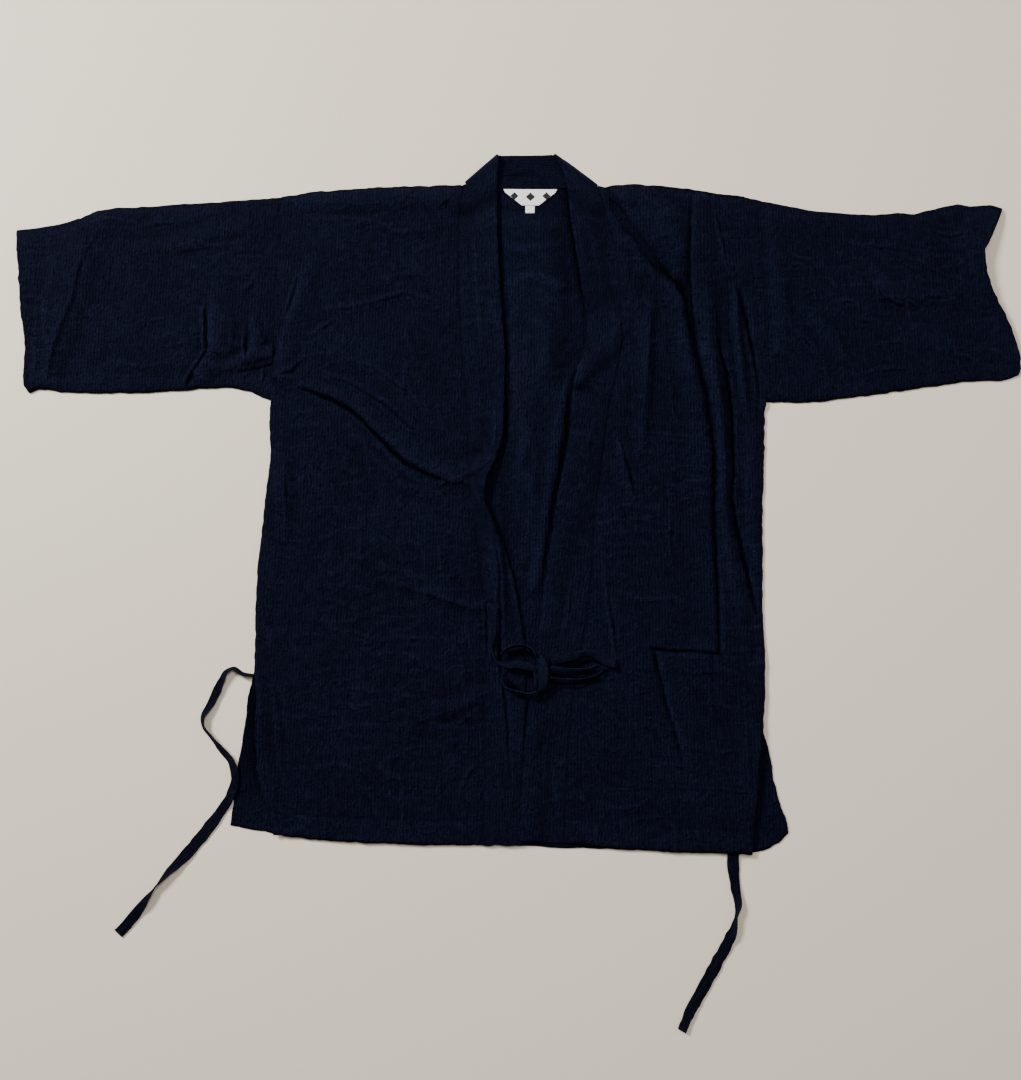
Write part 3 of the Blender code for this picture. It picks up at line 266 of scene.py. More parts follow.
CREASES_BAND_RIGHT = {
    "split": ((-27, -50, -0.9, 5, 3), (-21, -98, -1.6, 5, 3), (-20, -150, -1.9, 5, 3), (-20, -196, -1.9, 5, 3),
              (-13, -240, -1.7, 4, 3), (-10, -285, -1.2, 4, 3), (-7, -320, -0.3, 3, 3)),
    "under_loop": ((-16, -186, -0.6, 5, 5), (-4, -186, -1.8, 6, 7), (12, -187, -1.6, 5, 7), (18, -192, -0.4, 4, 5)),
    "under_ring": ((-12, -208, -0.8, 5, 5), (-12, -222, -1.6, 5, 5), (2, -226, -1.2, 5, 4)),
    "strip_top": ((-35, -131, -1.0, 3, 3), (-21, -131, -1.0, 3, 3)),
    "strip_side": ((-34, -128, -0.2, 3, 3), (-34.8, -136, -1.3, 3, 3), (-34.5, -172, -1.4, 3, 3), (-33, -190, -0.3, 3, 3)),
    "lap_foot": ((20, -206, -1.2, 3, 5), (17, -222, -2.4, 3, 6), (14, -244, -2.2, 3, 6), (10, -270, -1.6, 3, 5),
                 (7, -310, -0.8, 3, 4), (4, -350, -0.3, 3, 3)),
    "pinch_1": ((-57, 18, 0.3, 5, 5), (-46, 22, 0.6, 5, 5), (-35, 31, 0.6, 5, 5), (-27, 37, 0.2, 5, 5)),
    "pinch_2": ((-52, -2, 0.2, 5, 4), (-44, -12, 0.8, 5, 4), (-38, -26, 0.2, 4, 4)),
    "pinch_3": ((-29, 88, 0.1, 4, 5), (-27, 62, 0.7, 4, 5), (-29, 44, 0.2, 4, 5)),
    "mid_1": ((-56, 320, 0.1, 6, 6), (-52, 268, 0.6, 6, 6), (-48, 210, 0.5, 6, 6), (-42, 150, 0.1, 6, 6)),
}
CREASES_BAND_LEFT = {
    "fold_1": ((78, 344, 0.1, 9, 8), (84, 305, 0.4, 9, 8), (92, 262, 0.4, 9, 8), (98, 220, 0.1, 8, 8)),
    "fold_2": ((66, -17, 0.1, 6, 5), (63, -4, 0.5, 6, 5), (70, 2, 0.5, 5, 5), (90, 3, 0.1, 5, 5)),
    "fold_3": ((88, 92, 0.1, 7, 6), (80, 56, 0.6, 7, 6), (74, 12, 0.1, 7, 6)),
    "fold_4": ((62, -88, 0.1, 6, 6), (56, -128, 0.7, 6, 6), (50, -168, 0.1, 6, 6)),
    "fold_5": ((34, -262, 0.1, 5, 5), (30, -300, 0.6, 5, 5), (30, -344, 0.1, 5, 5)),
}
CREASES_SLEEVE_RIGHT = {
    "cuff_line": ((-499, 300, -0.2, 12, 2.5), (-511, 284, -1.0, 16, 2.5), (-518, 258, -1.5, 18, 2.5),
                  (-521, 225, -1.6, 19, 2.5), (-528, 203, -1.6, 20, 2.5), (-537, 170, -1.6, 20, 2.5),
                  (-542, 145, -1.5, 18, 2.5), (-543, 120, -1.0, 14, 2.5), (-542, 110, -0.3, 8, 2.5)),
    "cuff_1": ((-560, 296, 0.2, 8, 7), (-548, 262, 0.5, 8, 7), (-552, 226, 0.5, 8, 7), (-556, 196, 0.2, 7, 7)),
    "cuff_2": ((-566, 168, 0.2, 7, 6), (-558, 146, 0.8, 7, 6), (-562, 126, 0.2, 6, 6)),
    "bend_1": ((-370, 226, 0.2, 6, 6), (-369, 200, 1.5, 6, 6), (-365, 163, 1.7, 6, 6), (-374, 146, 1.5, 6, 6),
               (-384, 127, 1.4, 6, 6), (-389, 113, 0.5, 6, 6)),
    "bend_2": ((-338, 204, 0.1, 6, 6), (-334, 180, 0.8, 6, 6), (-338, 156, 0.2, 6, 6)),
    "bend_3": ((-321, 188, 0.3, 5, 5), (-320, 166, 1.4, 5, 5), (-318, 150, 0.4, 5, 5)),
    "under_1": ((-335, 137, 0.3, 5, 5), (-318, 140, 0.9, 6, 6), (-302, 143, 1.0, 6, 6), (-280, 149, 0.9, 6, 6)),
    "under_2": ((-300, 118, 0.2, 5, 5), (-296, 132, 0.9, 5, 5), (-297, 142, 0.3, 4, 5)),
    "long_1": ((-432, 274, 0.2, 8, 7), (-398, 284, 0.6, 9, 7), (-352, 292, 0.6, 9, 7), (-318, 298, 0.1, 8, 7)),
    "long_2": ((-470, 306, 0.1, 8, 7), (-430, 318, 0.8, 9, 7), (-384, 322, 0.1, 8, 7)),
    "long_3": ((-480, 150, 0.1, 9, 7), (-440, 138, 0.9, 9, 7), (-404, 146, 0.2, 8, 7)),
    "long_4": ((-462, 212, 0.1, 9, 8), (-432, 196, 0.8, 9, 8), (-404, 202, 0.1, 8, 7)),
    "seam_1": ((-306, 262, 0.1, 7, 6), (-318, 240, 0.9, 7, 6), (-334, 228, 0.1, 7, 6)),
}
CREASES_SLEEVE_LEFT = {
    "elbow_1": ((412, 246, 0.3, 5, 5), (419, 234, 1.0, 5, 5), (436, 223, 1.0, 5, 5), (452, 220, 0.3, 5, 5)),
    "elbow_2": ((463, 227, 0.3, 6, 5), (480, 232, 0.9, 6, 6), (506, 230, 0.3, 6, 5)),
    "low_1": ((385, 201, 0.3, 5, 5), (400, 202, 0.9, 5, 5), (416, 203, 0.2, 5, 5)),
    "low_2": ((398, 171, 0.2, 6, 5), (438, 176, 0.6, 7, 6), (466, 168, 0.3, 6, 5)),
    "low_3": ((504, 162, 0.2, 5, 5), (516, 157, 0.9, 6, 6), (527, 152, 0.2, 5, 5)),
    "mid_1": ((364, 221, 0.2, 6, 6), (380, 227, 1.0, 6, 6), (397, 219, 0.2, 6, 6)),
    "mid_2": ((318, 192, 0.2, 7, 6), (330, 176, 1.0, 7, 6), (342, 163, 0.3, 6, 6)),
    "mid_3": ((300, 286, 0.1, 7, 6), (318, 270, 0.8, 7, 6), (346, 264, 0.1, 6, 6)),
    "top_1": ((380, 300, 0.1, 8, 6), (420, 292, 0.9, 9, 6), (462, 298, 0.2, 8, 6)),
    "top_2": ((470, 316, 0.1, 8, 6), (502, 306, 1.0, 8, 6), (530, 312, 0.2, 7, 6)),
    "cuff_1": ((520, 282, 0.1, 7, 7), (514, 256, 0.5, 7, 7), (520, 224, 0.1, 7, 7)),
    "cuff_2": ((552, 196, 0.1, 7, 7), (548, 172, 0.5, 7, 7), (552, 148, 0.1, 7, 7)),
    "long_1": ((380, 136, 0.1, 8, 6), (430, 144, 0.8, 8, 6), (476, 142, 0.1, 8, 6)),
}
CREASES_INSIDE = {
    "puff": ((0, 330, 0.8, 34, 40), (20, 270, 1.6, 36, 56), (24, 200, 2.2, 34, 60), (18, 130, 2.4, 30, 54),
             (14, 60, 2.4, 26, 40), (10, 0, 2.0, 20, 34), (10, -70, 1.0, 12, 22)),
    "upper_1": ((-22, 296, 0.2, 9, 7), (8, 288, 1.0, 10, 7), (42, 296, 0.3, 9, 7)),
    "upper_2": ((-14, 248, 0.2, 8, 7), (14, 256, 0.9, 9, 7), (50, 244, 0.3, 8, 7)),
    "middle_1": ((0, 214, 0.1, 8, 8), (26, 190, 0.8, 8, 8), (30, 150, 0.1, 8, 8)),
    "middle_2": ((-4, 110, 0.1, 6, 7), (8, 64, 0.8, 6, 7), (-6, 20, 0.1, 6, 7)),
    "lower": ((20, 60, 0.1, 6, 7), (14, 0, 0.7, 6, 7), (12, -60, 0.1, 5, 6)),
    "rim": ((54, 134, 0.4, 7, 26), (49, 104, 2.6, 8, 28), (45, 62, 3.6, 8, 28), (39, 22, 3.4, 8, 26), (32, -20, 3.0, 8, 22),
            (26, -62, 2.2, 7, 18), (19, -110, 1.2, 6, 12)),
}
CREASES_POCKET = {
    "main": ((149, -182, -1.8, 4, 4), (152, -200, -1.9, 4, 4), (160, -235, -1.7, 4, 4), (168, -262, -1.6, 4, 4),
             (175, -285, -1.4, 4, 4), (178, -303, -0.8, 4, 4), (178, -320, -0.1, 4, 4)),
    "cross_1": ((180, -203, 0.1, 5, 5), (208, -206, 0.7, 6, 5), (240, -203, 0.2, 5, 5)),
    "cross_2": ((186, -241, 0.1, 5, 5), (212, -240, 0.7, 6, 5), (242, -244, 0.1, 5, 5)),
    "cross_3": ((126, -262, 0.1, 5, 5), (142, -272, 0.6, 5, 5), (158, -290, 0.1, 5, 5)),
    "cross_4": ((196, -286, 0.1, 6, 5), (222, -292, 0.6, 6, 5), (244, -288, 0.1, 5, 5)),
}

# Edges of the two sleeves in plan, as in the solids
SLEEVE_RIGHT_TOP = ((-285, 353), (-320, 350), (-365, 346.5), (-430, 341.5), (-478, 338.5), (-503, 336), (-512, 330.5),
                    (-522, 325.5), (-536, 320.5), (-560, 315.5), (-597, 309.5))
SLEEVE_RIGHT_UNDER = ((-285, 103), (-296, 105.5), (-310, 112), (-332, 117), (-370, 115), (-384, 113), (-430, 110.5),
                      (-480, 109), (-520, 109.5), (-545, 112.5), (-556, 112.5), (-566, 108))
SLEEVE_RIGHT_CUFF = ((-566, 108), (-571, 114), (-573.5, 128), (-574, 160), (-579, 190), (-584, 208), (-588, 236),
                     (-594, 282), (-597, 309.5))
SLEEVE_LEFT_TOP = ((266, 356), (285, 352), (320, 343.5), (360, 337), (400, 334.5), (420, 334), (442, 336.5), (466, 335),
                   (490, 341), (519, 348.5), (534, 345.5), (556, 347), (571, 343.5))
SLEEVE_LEFT_UNDER = ((283.5, 103), (320, 102.5), (345, 104), (380, 109), (440, 117), (500, 127), (532, 130.5), (556, 130),
                     (576, 137))
SLEEVE_LEFT_CUFF = ((576, 137), (578, 160), (572.5, 182), (566, 202), (556, 221), (547, 245), (543, 262), (541, 288),
                    (551, 301), (559, 318), (571, 343.5))
CUFF_HEM = 22.0

POCKET_BOX = ((117, -331), (254, -336), (252, -188.5), (120, -181))
POCKET_LIFTS = {
    "crease": ((156, -182, 2.2, 70, 6), (159, -200, 2.4, 60, 6), (166, -235, 2.2, 50, 6), (173, -262, 1.8, 40, 6),
               (180, -285, 1.2, 30, 6), (184, -312, 0.3, 20, 6)),
    "mouth": ((150, -187, 0.3, 8, 20), (166, -188, 1.0, 8, 24), (198, -190.5, 1.2, 8, 24), (217, -192, 0.8, 8, 20),
              (230, -193, 0.1, 8, 16)),
}

LABEL_X = 12.0
LABEL_ROWS = ((364.2, 32), (360, 30), (351, 19), (343.5, 10))
SIZE_TAB = ((6.2, 334), (17.2, 343.1))
LABEL_MARKS = ((-7, 355.5, 5.0), (12, 354.5, 5.5), (31, 355.5, 5.0))

# Ties, as rows of (x, y, height of what it lies on, width, lean from flat in degrees)
TIE = 1.2
SIDE_TIE_RIGHT = (
    (-289.8, -213.4, 0.5, 6, 60), (-303, -211, 0.1, 7, 60), (-313, -205.5, 0.1, 7, 60), (-320, -209, 0.1, 8, 50),
    (-325, -218, 0.1, 9, 25), (-331, -233, 0.1, 10, 15), (-338, -248, 0.1, 9, 25), (-343.5, -259, 0.1, 8, 50),
    (-342.5, -268, 0.1, 8, 60), (-335, -278, 0.1, 8, 62), (-327, -287, 0.1, 8, 50), (-320, -294.5, 0.1, 9, 35),
    (-312, -303, 0.3, 9, 35), (-306.5, -313, 1.6, 9, 15), (-305, -326, 1.6, 9, 5), (-308, -340, 1.6, 10, 5),
    (-318, -357, 0.1, 11, 0), (-331, -375.5, 0.1, 12, 0), (-345, -394, 0.1, 12, 0), (-360, -411, 0.1, 11, 10),
    (-374, -425.5, 0.1, 8, 40), (-384.5, -438.5, 0.1, 6, 75), (-392, -449, 0.1, 8, 40), (-402, -463, 0.1, 11, 5),
    (-412, -475.5, 0.1, 12, 0), (-421, -486, 0.1, 12, 0),
)
SIDE_TIE_LEFT = (
    (266, -214, 1.6, 12, 0), (263, -240, 1.6, 12, 0), (256, -290, 1.6, 12, 0), (244, -350, 1.6, 12, 0),
    (235, -388, 1.6, 12, 0), (231.8, -402, 1.2, 12, 0), (232.5, -418, 0.1, 12, 0), (234.5, -438, 0.1, 10, 10),
    (236, -451, 0.1, 8, 40), (233.5, -462, 0.1, 6, 75), (231.5, -471, 0.1, 8, 45), (226, -485, 0.1, 11, 10),
    (217, -501, 0.1, 12, 0), (206, -520, 0.1, 12, 0), (195, -538, 0.1, 12, 0), (184, -556, 0.1, 11, 5),
    (174, -577, 0.1, 9, 15),
)

# Bow, as rows of (x, y, middle's z, bearing of the ribbon's width in plan, its rise above flat)
BOW_WIDTH = 9.0
FRONT_TIE_RIGHT = (
    (-27.6, -134.5, 7.6, 0, 14), (-27.6, -148, 7.6, 0, 10), (-27.4, -162, 7.7, 0, 0), (-27.2, -173, 8.2, 0, -24),
    (-26.8, -183, 9.4, 0, -66), (-25, -191, 9.6, 40, -84), (-20.5, -196.6, 9.6, 70, -70), (-12, -198.8, 9.8, 85, -30),
    (-2, -199, 10.4, 90, -6), (9, -200.4, 10.6, 95, -4), (20.5, -203.5, 10.4, 98, -6),
)
FRONT_TIE_LEFT = ((59, -189, 4.85, 90, 0), (48, -190, 4.9, 88, 0), (42, -190.8, 5.0, 86, 0), (36.5, -191.6, 5.2, 84, 0))
BOW_LOOP_TOP = (
    (20.5, -191.5, 9.6, 60, 80), (17.2, -184.6, 9.6, 50, 80), (11, -180, 9.6, 75, 80), (2.5, -178.4, 9.6, 90, 80),
    (-6.5, -179.8, 9.6, 100, 80), (-13.8, -183.8, 9.6, 125, 82), (-18.4, -189.8, 9.6, 150, 86),
)
BOW_EAR_LEFT = (
    (21.5, -228.6, 9.6, 70, 84), (14, -231.4, 9.6, 85, 82), (5, -230.2, 9.6, 100, 80), (-5, -227.6, 9.6, 105, 80),
    (-12.6, -224.2, 9.6, 130, 82), (-16.6, -217.5, 9.6, 170, 84), (-15.6, -209.5, 9.6, 205, 86),
)
BOW_EAR_RIGHT = (
    (37, -195, 9.2, 104, 14), (50, -192.6, 9.6, 106, 14), (62, -189.6, 9.8, 104, 18), (72, -187.6, 9.8, 98, 36),
    (82, -187.6, 9.8, 82, 36), (90, -191.2, 9.4, 78, 14), (99, -195.2, 8.6, 82, 2), (105, -196.6, 7.9, 86, 0),
    (108.2, -197, 6.9, 90, 0), (106.6, -197.4, 5.9, 90, 0), (100, -198.8, 5.7, 86, 0), (90, -202.2, 6.0, 80, 14),
    (78, -205.4, 7.2, 84, 48), (64, -206.6, 8.6, 88, 46), (50, -206.4, 9.0, 92, 36), (37, -205.2, 9.0, 96, 36),
)
BOW_END = ((37, -215, 9.0, 95, 60), (50, -217.2, 8.8, 95, 50), (62, -217.4, 8.4, 88, 48), (74, -215.9, 7.6, 80, 50),
           (85, -212.4, 6.9, 74, 46), (93, -209, 5.6, 72, 20))
KNOT_CORE_AT, KNOT_CORE_HALF = (27.6, -210.5, 9.6), (5.6, 19.0, 4.2)
KNOT_WRAP = (
    (20.5, -188, 7.6, 20, 50), (25, -192.5, 10.6, 15, 22), (28.2, -199, 12.6, 5, 4), (29.4, -208, 13.4, 0, -4),
    (29.0, -217, 13.0, -5, -6), (27.4, -225, 11.0, -15, -22), (25.4, -231, 7.6, -20, -50),
)
KNOT_TURN = ((21.6, -205, 8.0, 0, -30), (22.0, -211, 8.8, 0, -36), (22.6, -218, 8.8, -5, -40), (23.4, -227, 7.4, -10, -46))

# How fine the cloth is modelled: the number of points across and along each piece
FRONT_GRID, BACK_GRID, SLEEVE_GRID, POCKET_GRID = (148, 296), (110, 170), (156, 112), (84, 96)
BAND_POINTS, BAND_STEP = 26, 3.0
STITCH_LONG, STITCH_EVERY, THREAD = 2.6, 3.6, 0.28
CREASE_DEPTH, LOFT, BOW_LIFT = 2.0, 1.5, 1.7


def line(*tables):
    """A line through the rows of these tables, (where, value), as a function of where."""
    rows = np.array(sorted(row for table in tables for row in table), float)
    return lambda where: np.interp(where, rows[:, 0], rows[:, 1])


def fold(rows, x, y, sharp=False):
    """Height at (x, y) of one fold, or depth of one trough: round, or sharp as a pressed crease is."""
    rows = np.array(rows, float)
    sign = 1.0 if rows[:, 2].sum() > 0 else -1.0
    height = np.zeros(np.shape(x))
    for start, end in zip(rows[:-1], rows[1:]):
        step = end[:2] - start[:2]
        share = np.clip(((x - start[0]) * step[0] + (y - start[1]) * step[1]) / (step @ step), 0, 1)
        off_x = x - start[0] - share * step[0]
        off_y = y - start[1] - share * step[1]
        high, left, right = (start[k] + share * (end[k] - start[k]) for k in (2, 3, 4))
        reach = np.where(step[0] * off_y - step[1] * off_x > 0, left, right)
        away = (off_x**2 + off_y**2) / reach**2
        if sharp:
            away = np.sqrt(away + 0.02) - 0.14
        height = np.maximum(height, sign * high * np.clip(1 - away, 0, 1) ** 2)
    return sign * height


def raised(folds, x, y, sharp=False):
    """Height at (x, y) of all the folds together."""
    return sum((fold(rows, x, y, sharp) for rows in folds.values()), np.zeros(np.shape(x)))


def creased(creases, x, y):
    """Small sharp creases: a low ridge each, with a narrow trough on its side away from the window."""
    trough = np.maximum(raised(creases, x - 2.2, y + 2.0, True) - 0.4, 0)
    return CREASE_DEPTH * (0.6 * raised(creases, x, y, True) - 1.3 * trough)


def waves(x, y, cell_x, cell_y, seed):
    """Smooth uneven waves from -1 to 1, with a new height every so many millimetres."""
    heights = np.random.default_rng(seed).uniform(-1, 1, (128, 128))
    u, v = np.asarray(x) / cell_x + 64.0, np.asarray(y) / cell_y + 64.0
    i, j = np.floor(u).astype(int), np.floor(v).astype(int)
    s, t = u - i, v - j
    s, t = s * s * (3 - 2 * s), t * t * (3 - 2 * t)
    corner = [[heights[(i + a) % 128, (j + b) % 128] for b in (0, 1)] for a in (0, 1)]
    low = corner[0][0] * (1 - s) + corner[1][0] * s
    high = corner[0][1] * (1 - s) + corner[1][1] * s
    return low * (1 - t) + high * t


def rucks(x, y, long, apart, lean, seed):
    """Thin winding ridges from 0 to 1, about that long and that far apart, in patches."""
    winding = waves(x + lean * y, y - 0.3 * lean * x, long, apart, seed)
    patches = np.clip(0.45 + 1.3 * waves(x, y, 62.0, 54.0, seed + 1), 0, 1)
    return np.clip(1 - np.abs(winding) / 0.34, 0, 1) ** 1.5 * patches


def crinkle(x, y, seed):
    """The cloth's own unevenness: puckers that run with the grain, short rucks across it, and slow swells."""
    puckers = 0.13 * waves(x, y, 4.6, 9.0, seed) + 0.20 * waves(x, y, 11.0, 19.0, seed + 1)
    swells = 0.40 * waves(x, y, 34.0, 40.0, seed + 2)
    short = 0.55 * rucks(x, y, 34.0, 13.0, 0.25, seed + 3) + 0.45 * rucks(x, y, 22.0, 9.0, -0.4, seed + 5)
    return puckers + swells + short + 0.5 * rucks(x, y, 15.0, 40.0, 0.1, seed + 7)


def wander(plan):
    """The same points, each shifted a little in plan, so that no edge of the cloth is quite straight."""
    x, y = plan[..., 0], plan[..., 1]
    shift = [0.75 * waves(x, y, 10.0, 8.0, seed) + 0.35 * waves(x, y, 4.5, 4.0, seed + 1) for seed in (201, 205)]
    return plan + np.stack(shift, axis=-1)


def relief(high):
    """How far each point of a grid of heights lies below what is around it, in mm."""
    around, below = high, 0.0
    for step in range(24):
        for axis in (0, 1):
            edge = [(1, 1) if k == axis else (0, 0) for k in (0, 1)]
            wide = np.moveaxis(np.pad(around, edge, mode="edge"), axis, 0)
            around = np.moveaxis((wide[:-2] + 2 * wide[1:-1] + wide[2:]) / 4, 0, axis)
        if step == 2:
            below = around - high
    return below + 0.3 * (around - high)


def gathered(west, east, y, folds, count):
    """Shares of the way from west to east for the points of one row: closer at folds and at both edges."""
    shares = np.linspace(0, 1, 401)
    x = west + shares * (east - west)
    slope = np.abs(np.gradient(raised(folds, x, np.full_like(x, y)), x))
    edge = np.minimum(x - west, east - x)
    total = np.cumsum(0.5 + np.clip(slope, 0, 1.5) + 1.6 * np.exp(-edge / 4))
    total = (total - total[0]) / (total[-1] - total[0])
    return np.interp(np.linspace(0, 1, count), total, shares)


def finish_mesh(name, bm, material):
    """The bmesh as a smooth piece that rides on the jacket."""
    mesh = bpy.data.meshes.new(name)
    bm.to_mesh(mesh)
    bm.free()
    obj = bpy.data.objects.new(name, mesh)
    bpy.context.scene.collection.objects.link(obj)
    mesh.materials.append(material)
    mesh.shade_smooth()
    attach(obj, "root")
    return obj


def cloth(name, points, uv, wall, material, replaces=None, offset=-1.0, closed=False, even=True, painted_shade=None):
    """A thin wall of cloth on a grid of points in mm, rows first, with its UV in metres of cloth."""
    rows, columns = points.shape[:2]
    bm = bmesh.new()
    bmesh.ops.create_grid(bm, x_segments=columns - 1, y_segments=rows - 1, size=1)
    layer = bm.loops.layers.uv.new("grain")
    # each point carries painted shade: how far it lies below what is around it; the cotton darkens there, and lightens
    # where the point stands above
    depth = bm.verts.layers.float.new("painted_shade")
    flat_uv = uv.reshape(-1, 2) * MM
    painted_shade = relief(points[..., 2]) if painted_shade is None else painted_shade
    bm.verts.index_update()
    for vert, point, below in zip(bm.verts, points.reshape(-1, 3), painted_shade.ravel()):
        vert.co = point * MM
        vert[depth] = below
    for face in bm.faces:
        for loop in face.loops:
            loop[layer].uv = flat_uv[loop.vert.index]
    if closed:
        bmesh.ops.remove_doubles(bm, verts=bm.verts, dist=1e-6)
        bmesh.ops.recalc_face_normals(bm, faces=bm.faces)
    obj = finish_mesh(name, bm, material)
    thick = obj.modifiers.new("wall", "SOLIDIFY")
    thick.thickness = wall * MM
    thick.offset = offset
    thick.use_even_offset = even
    thick.use_quality_normals = True
    if replaces:
        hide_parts(replaces)
    return obj


def beside(points, side, away):
    """The line on a grid of points that runs this far from one of its sides."""
    grid = {"bottom": points, "top": points[::-1], "west": points.swapaxes(0, 1), "east": points[:, ::-1].swapaxes(0, 1)}[side]
    path = []
    for k in range(grid.shape[1]):
        run = np.concatenate([[0], np.cumsum(np.linalg.norm(np.diff(grid[:, k, :2], axis=0), axis=1))])
        path.append([np.interp(away, run, grid[:, k, axis]) for axis in range(3)])
    return np.array(path)


def stitches(name, paths, material, long=STITCH_LONG, every=STITCH_EVERY, thick=THREAD):
    """Rows of short threads that lie on the cloth along these paths."""
    bm = bmesh.new()
    for path in paths:
        run = np.concatenate([[0], np.cumsum(np.linalg.norm(np.diff(path, axis=0), axis=1))])
        for start in np.arange(every / 2, run[-1] - long, every):
            ends = [np.array([np.interp(s, run, path[:, axis]) for axis in range(3)]) for s in (start, start + long)]
            way = Vector(ends[1] - ends[0])
            turn = way.to_track_quat("X", "Z").to_matrix().to_4x4()
            place = Matrix.Translation(Vector((ends[0] + ends[1]) / 2 + (0, 0, thick * 0.3)) * MM)
            size = Matrix.Diagonal((way.length * MM, thick * 1.5 * MM, thick * MM, 1))
            bmesh.ops.create_cube(bm, size=1, matrix=place @ turn @ size)
    finish_mesh(name, bm, material)


# Materials


def group(name, inputs, outputs):
    """An empty node group with those sockets, and its two end nodes."""
    tree = bpy.data.node_groups.new(name, "ShaderNodeTree")
    for socket, kind, value in inputs:
        made = tree.interface.new_socket(socket, in_out="INPUT", socket_type=kind)
        if value is not None:
            made.default_value = value
    for socket, kind in outputs:
        tree.interface.new_socket(socket, in_out="OUTPUT", socket_type=kind)
    return tree, tree.nodes.new("NodeGroupInput"), tree.nodes.new("NodeGroupOutput")


def maths(tree, operation, *values):
    """A Math node on these values or sockets, giving its output."""
    node = tree.nodes.new("ShaderNodeMath")
    node.operation = operation
    for socket, value in zip(node.inputs, values):
        if isinstance(value, (int, float)):
            socket.default_value = value
        else:
            tree.links.new(value, socket)
    return node.outputs[0]


def seersucker_group():
    """Height of crinkled cotton and its painted light: puckered stripes along V, their puckers, and the weave; the
    colour is painted lighter where stripes, puckers and swells stand high and darker where they lie low.
    """
    tree, given, result = group(
        "Seersucker",
        [("Vector", "NodeSocketVector", None), ("Stripe", "NodeSocketFloat", 0.0036), ("Pucker", "NodeSocketFloat", 0.007),
         ("Weave", "NodeSocketFloat", 0.0006)],
        [("Height", "NodeSocketFloat"), ("Painted light", "NodeSocketFloat")],
    )
    links = tree.links

    def noise(size_x, size_y, detail, rough, distortion=0.0):
        scale = tree.nodes.new("ShaderNodeCombineXYZ")
        links.new(maths(tree, "DIVIDE", 1.0, size_x), scale.inputs[0])
        links.new(maths(tree, "DIVIDE", 1.0, size_y), scale.inputs[1])
        times = tree.nodes.new("ShaderNodeVectorMath")
        times.operation = "MULTIPLY"
        links.new(given.outputs["Vector"], times.inputs[0])
        links.new(scale.outputs[0], times.inputs[1])
        made = tree.nodes.new("ShaderNodeTexNoise")
        made.noise_dimensions = "2D"
        made.inputs["Scale"].default_value = 1.0
        made.inputs["Detail"].default_value = detail
        made.inputs["Roughness"].default_value = rough
        made.inputs["Distortion"].default_value = distortion
        links.new(times.outputs[0], made.inputs["Vector"])
        return made.outputs["Fac"]

    split = tree.nodes.new("ShaderNodeSeparateXYZ")
    links.new(given.outputs["Vector"], split.inputs[0])
    stripe, pucker = given.outputs["Stripe"], given.outputs["Pucker"]
    sway = maths(tree, "MULTIPLY", noise(maths(tree, "MULTIPLY", pucker, 1.2), maths(tree, "MULTIPLY", pucker, 1.6), 1.0, 0.5), 0.0026)
    across = maths(tree, "DIVIDE", maths(tree, "ADD", split.outputs[0], sway), stripe)
    bands = maths(tree, "SINE", maths(tree, "MULTIPLY", across, 2 * math.pi))
    puckers = noise(maths(tree, "MULTIPLY", stripe, 0.6), maths(tree, "MULTIPLY", pucker, 0.62), 2.0, 0.55, 0.9)
    swells = noise(maths(tree, "MULTIPLY", stripe, 2.6), maths(tree, "MULTIPLY", pucker, 0.9), 2.0, 0.5, 1.2)
    mixed = maths(tree, "ADD", maths(tree, "MULTIPLY", bands, 0.24), maths(tree, "MULTIPLY", puckers, 2.2))
    mixed = maths(tree, "ADD", mixed, maths(tree, "MULTIPLY", swells, 2.4))
    weave = given.outputs["Weave"]
    warp = maths(tree, "SINE", maths(tree, "MULTIPLY", maths(tree, "DIVIDE", split.outputs[0], weave), 2 * math.pi))
    weft = maths(tree, "SINE", maths(tree, "MULTIPLY", maths(tree, "DIVIDE", split.outputs[1], weave), 2 * math.pi))
    threads = maths(tree, "MULTIPLY", maths(tree, "MULTIPLY", warp, weft), 0.10)
    links.new(maths(tree, "ADD", mixed, threads), result.inputs["Height"])
    # painted light: lighter where the stripes, puckers and swells stand high, darker where they lie low
    painted_light = maths(tree, "ADD", maths(tree, "MULTIPLY", bands, 0.16), maths(tree, "MULTIPLY", maths(tree, "SUBTRACT", puckers, 0.5), 1.4))
    painted_light = maths(tree, "ADD", painted_light, maths(tree, "MULTIPLY", maths(tree, "SUBTRACT", swells, 0.5), 0.7))
    links.new(painted_light, result.inputs["Painted light"])
    return tree


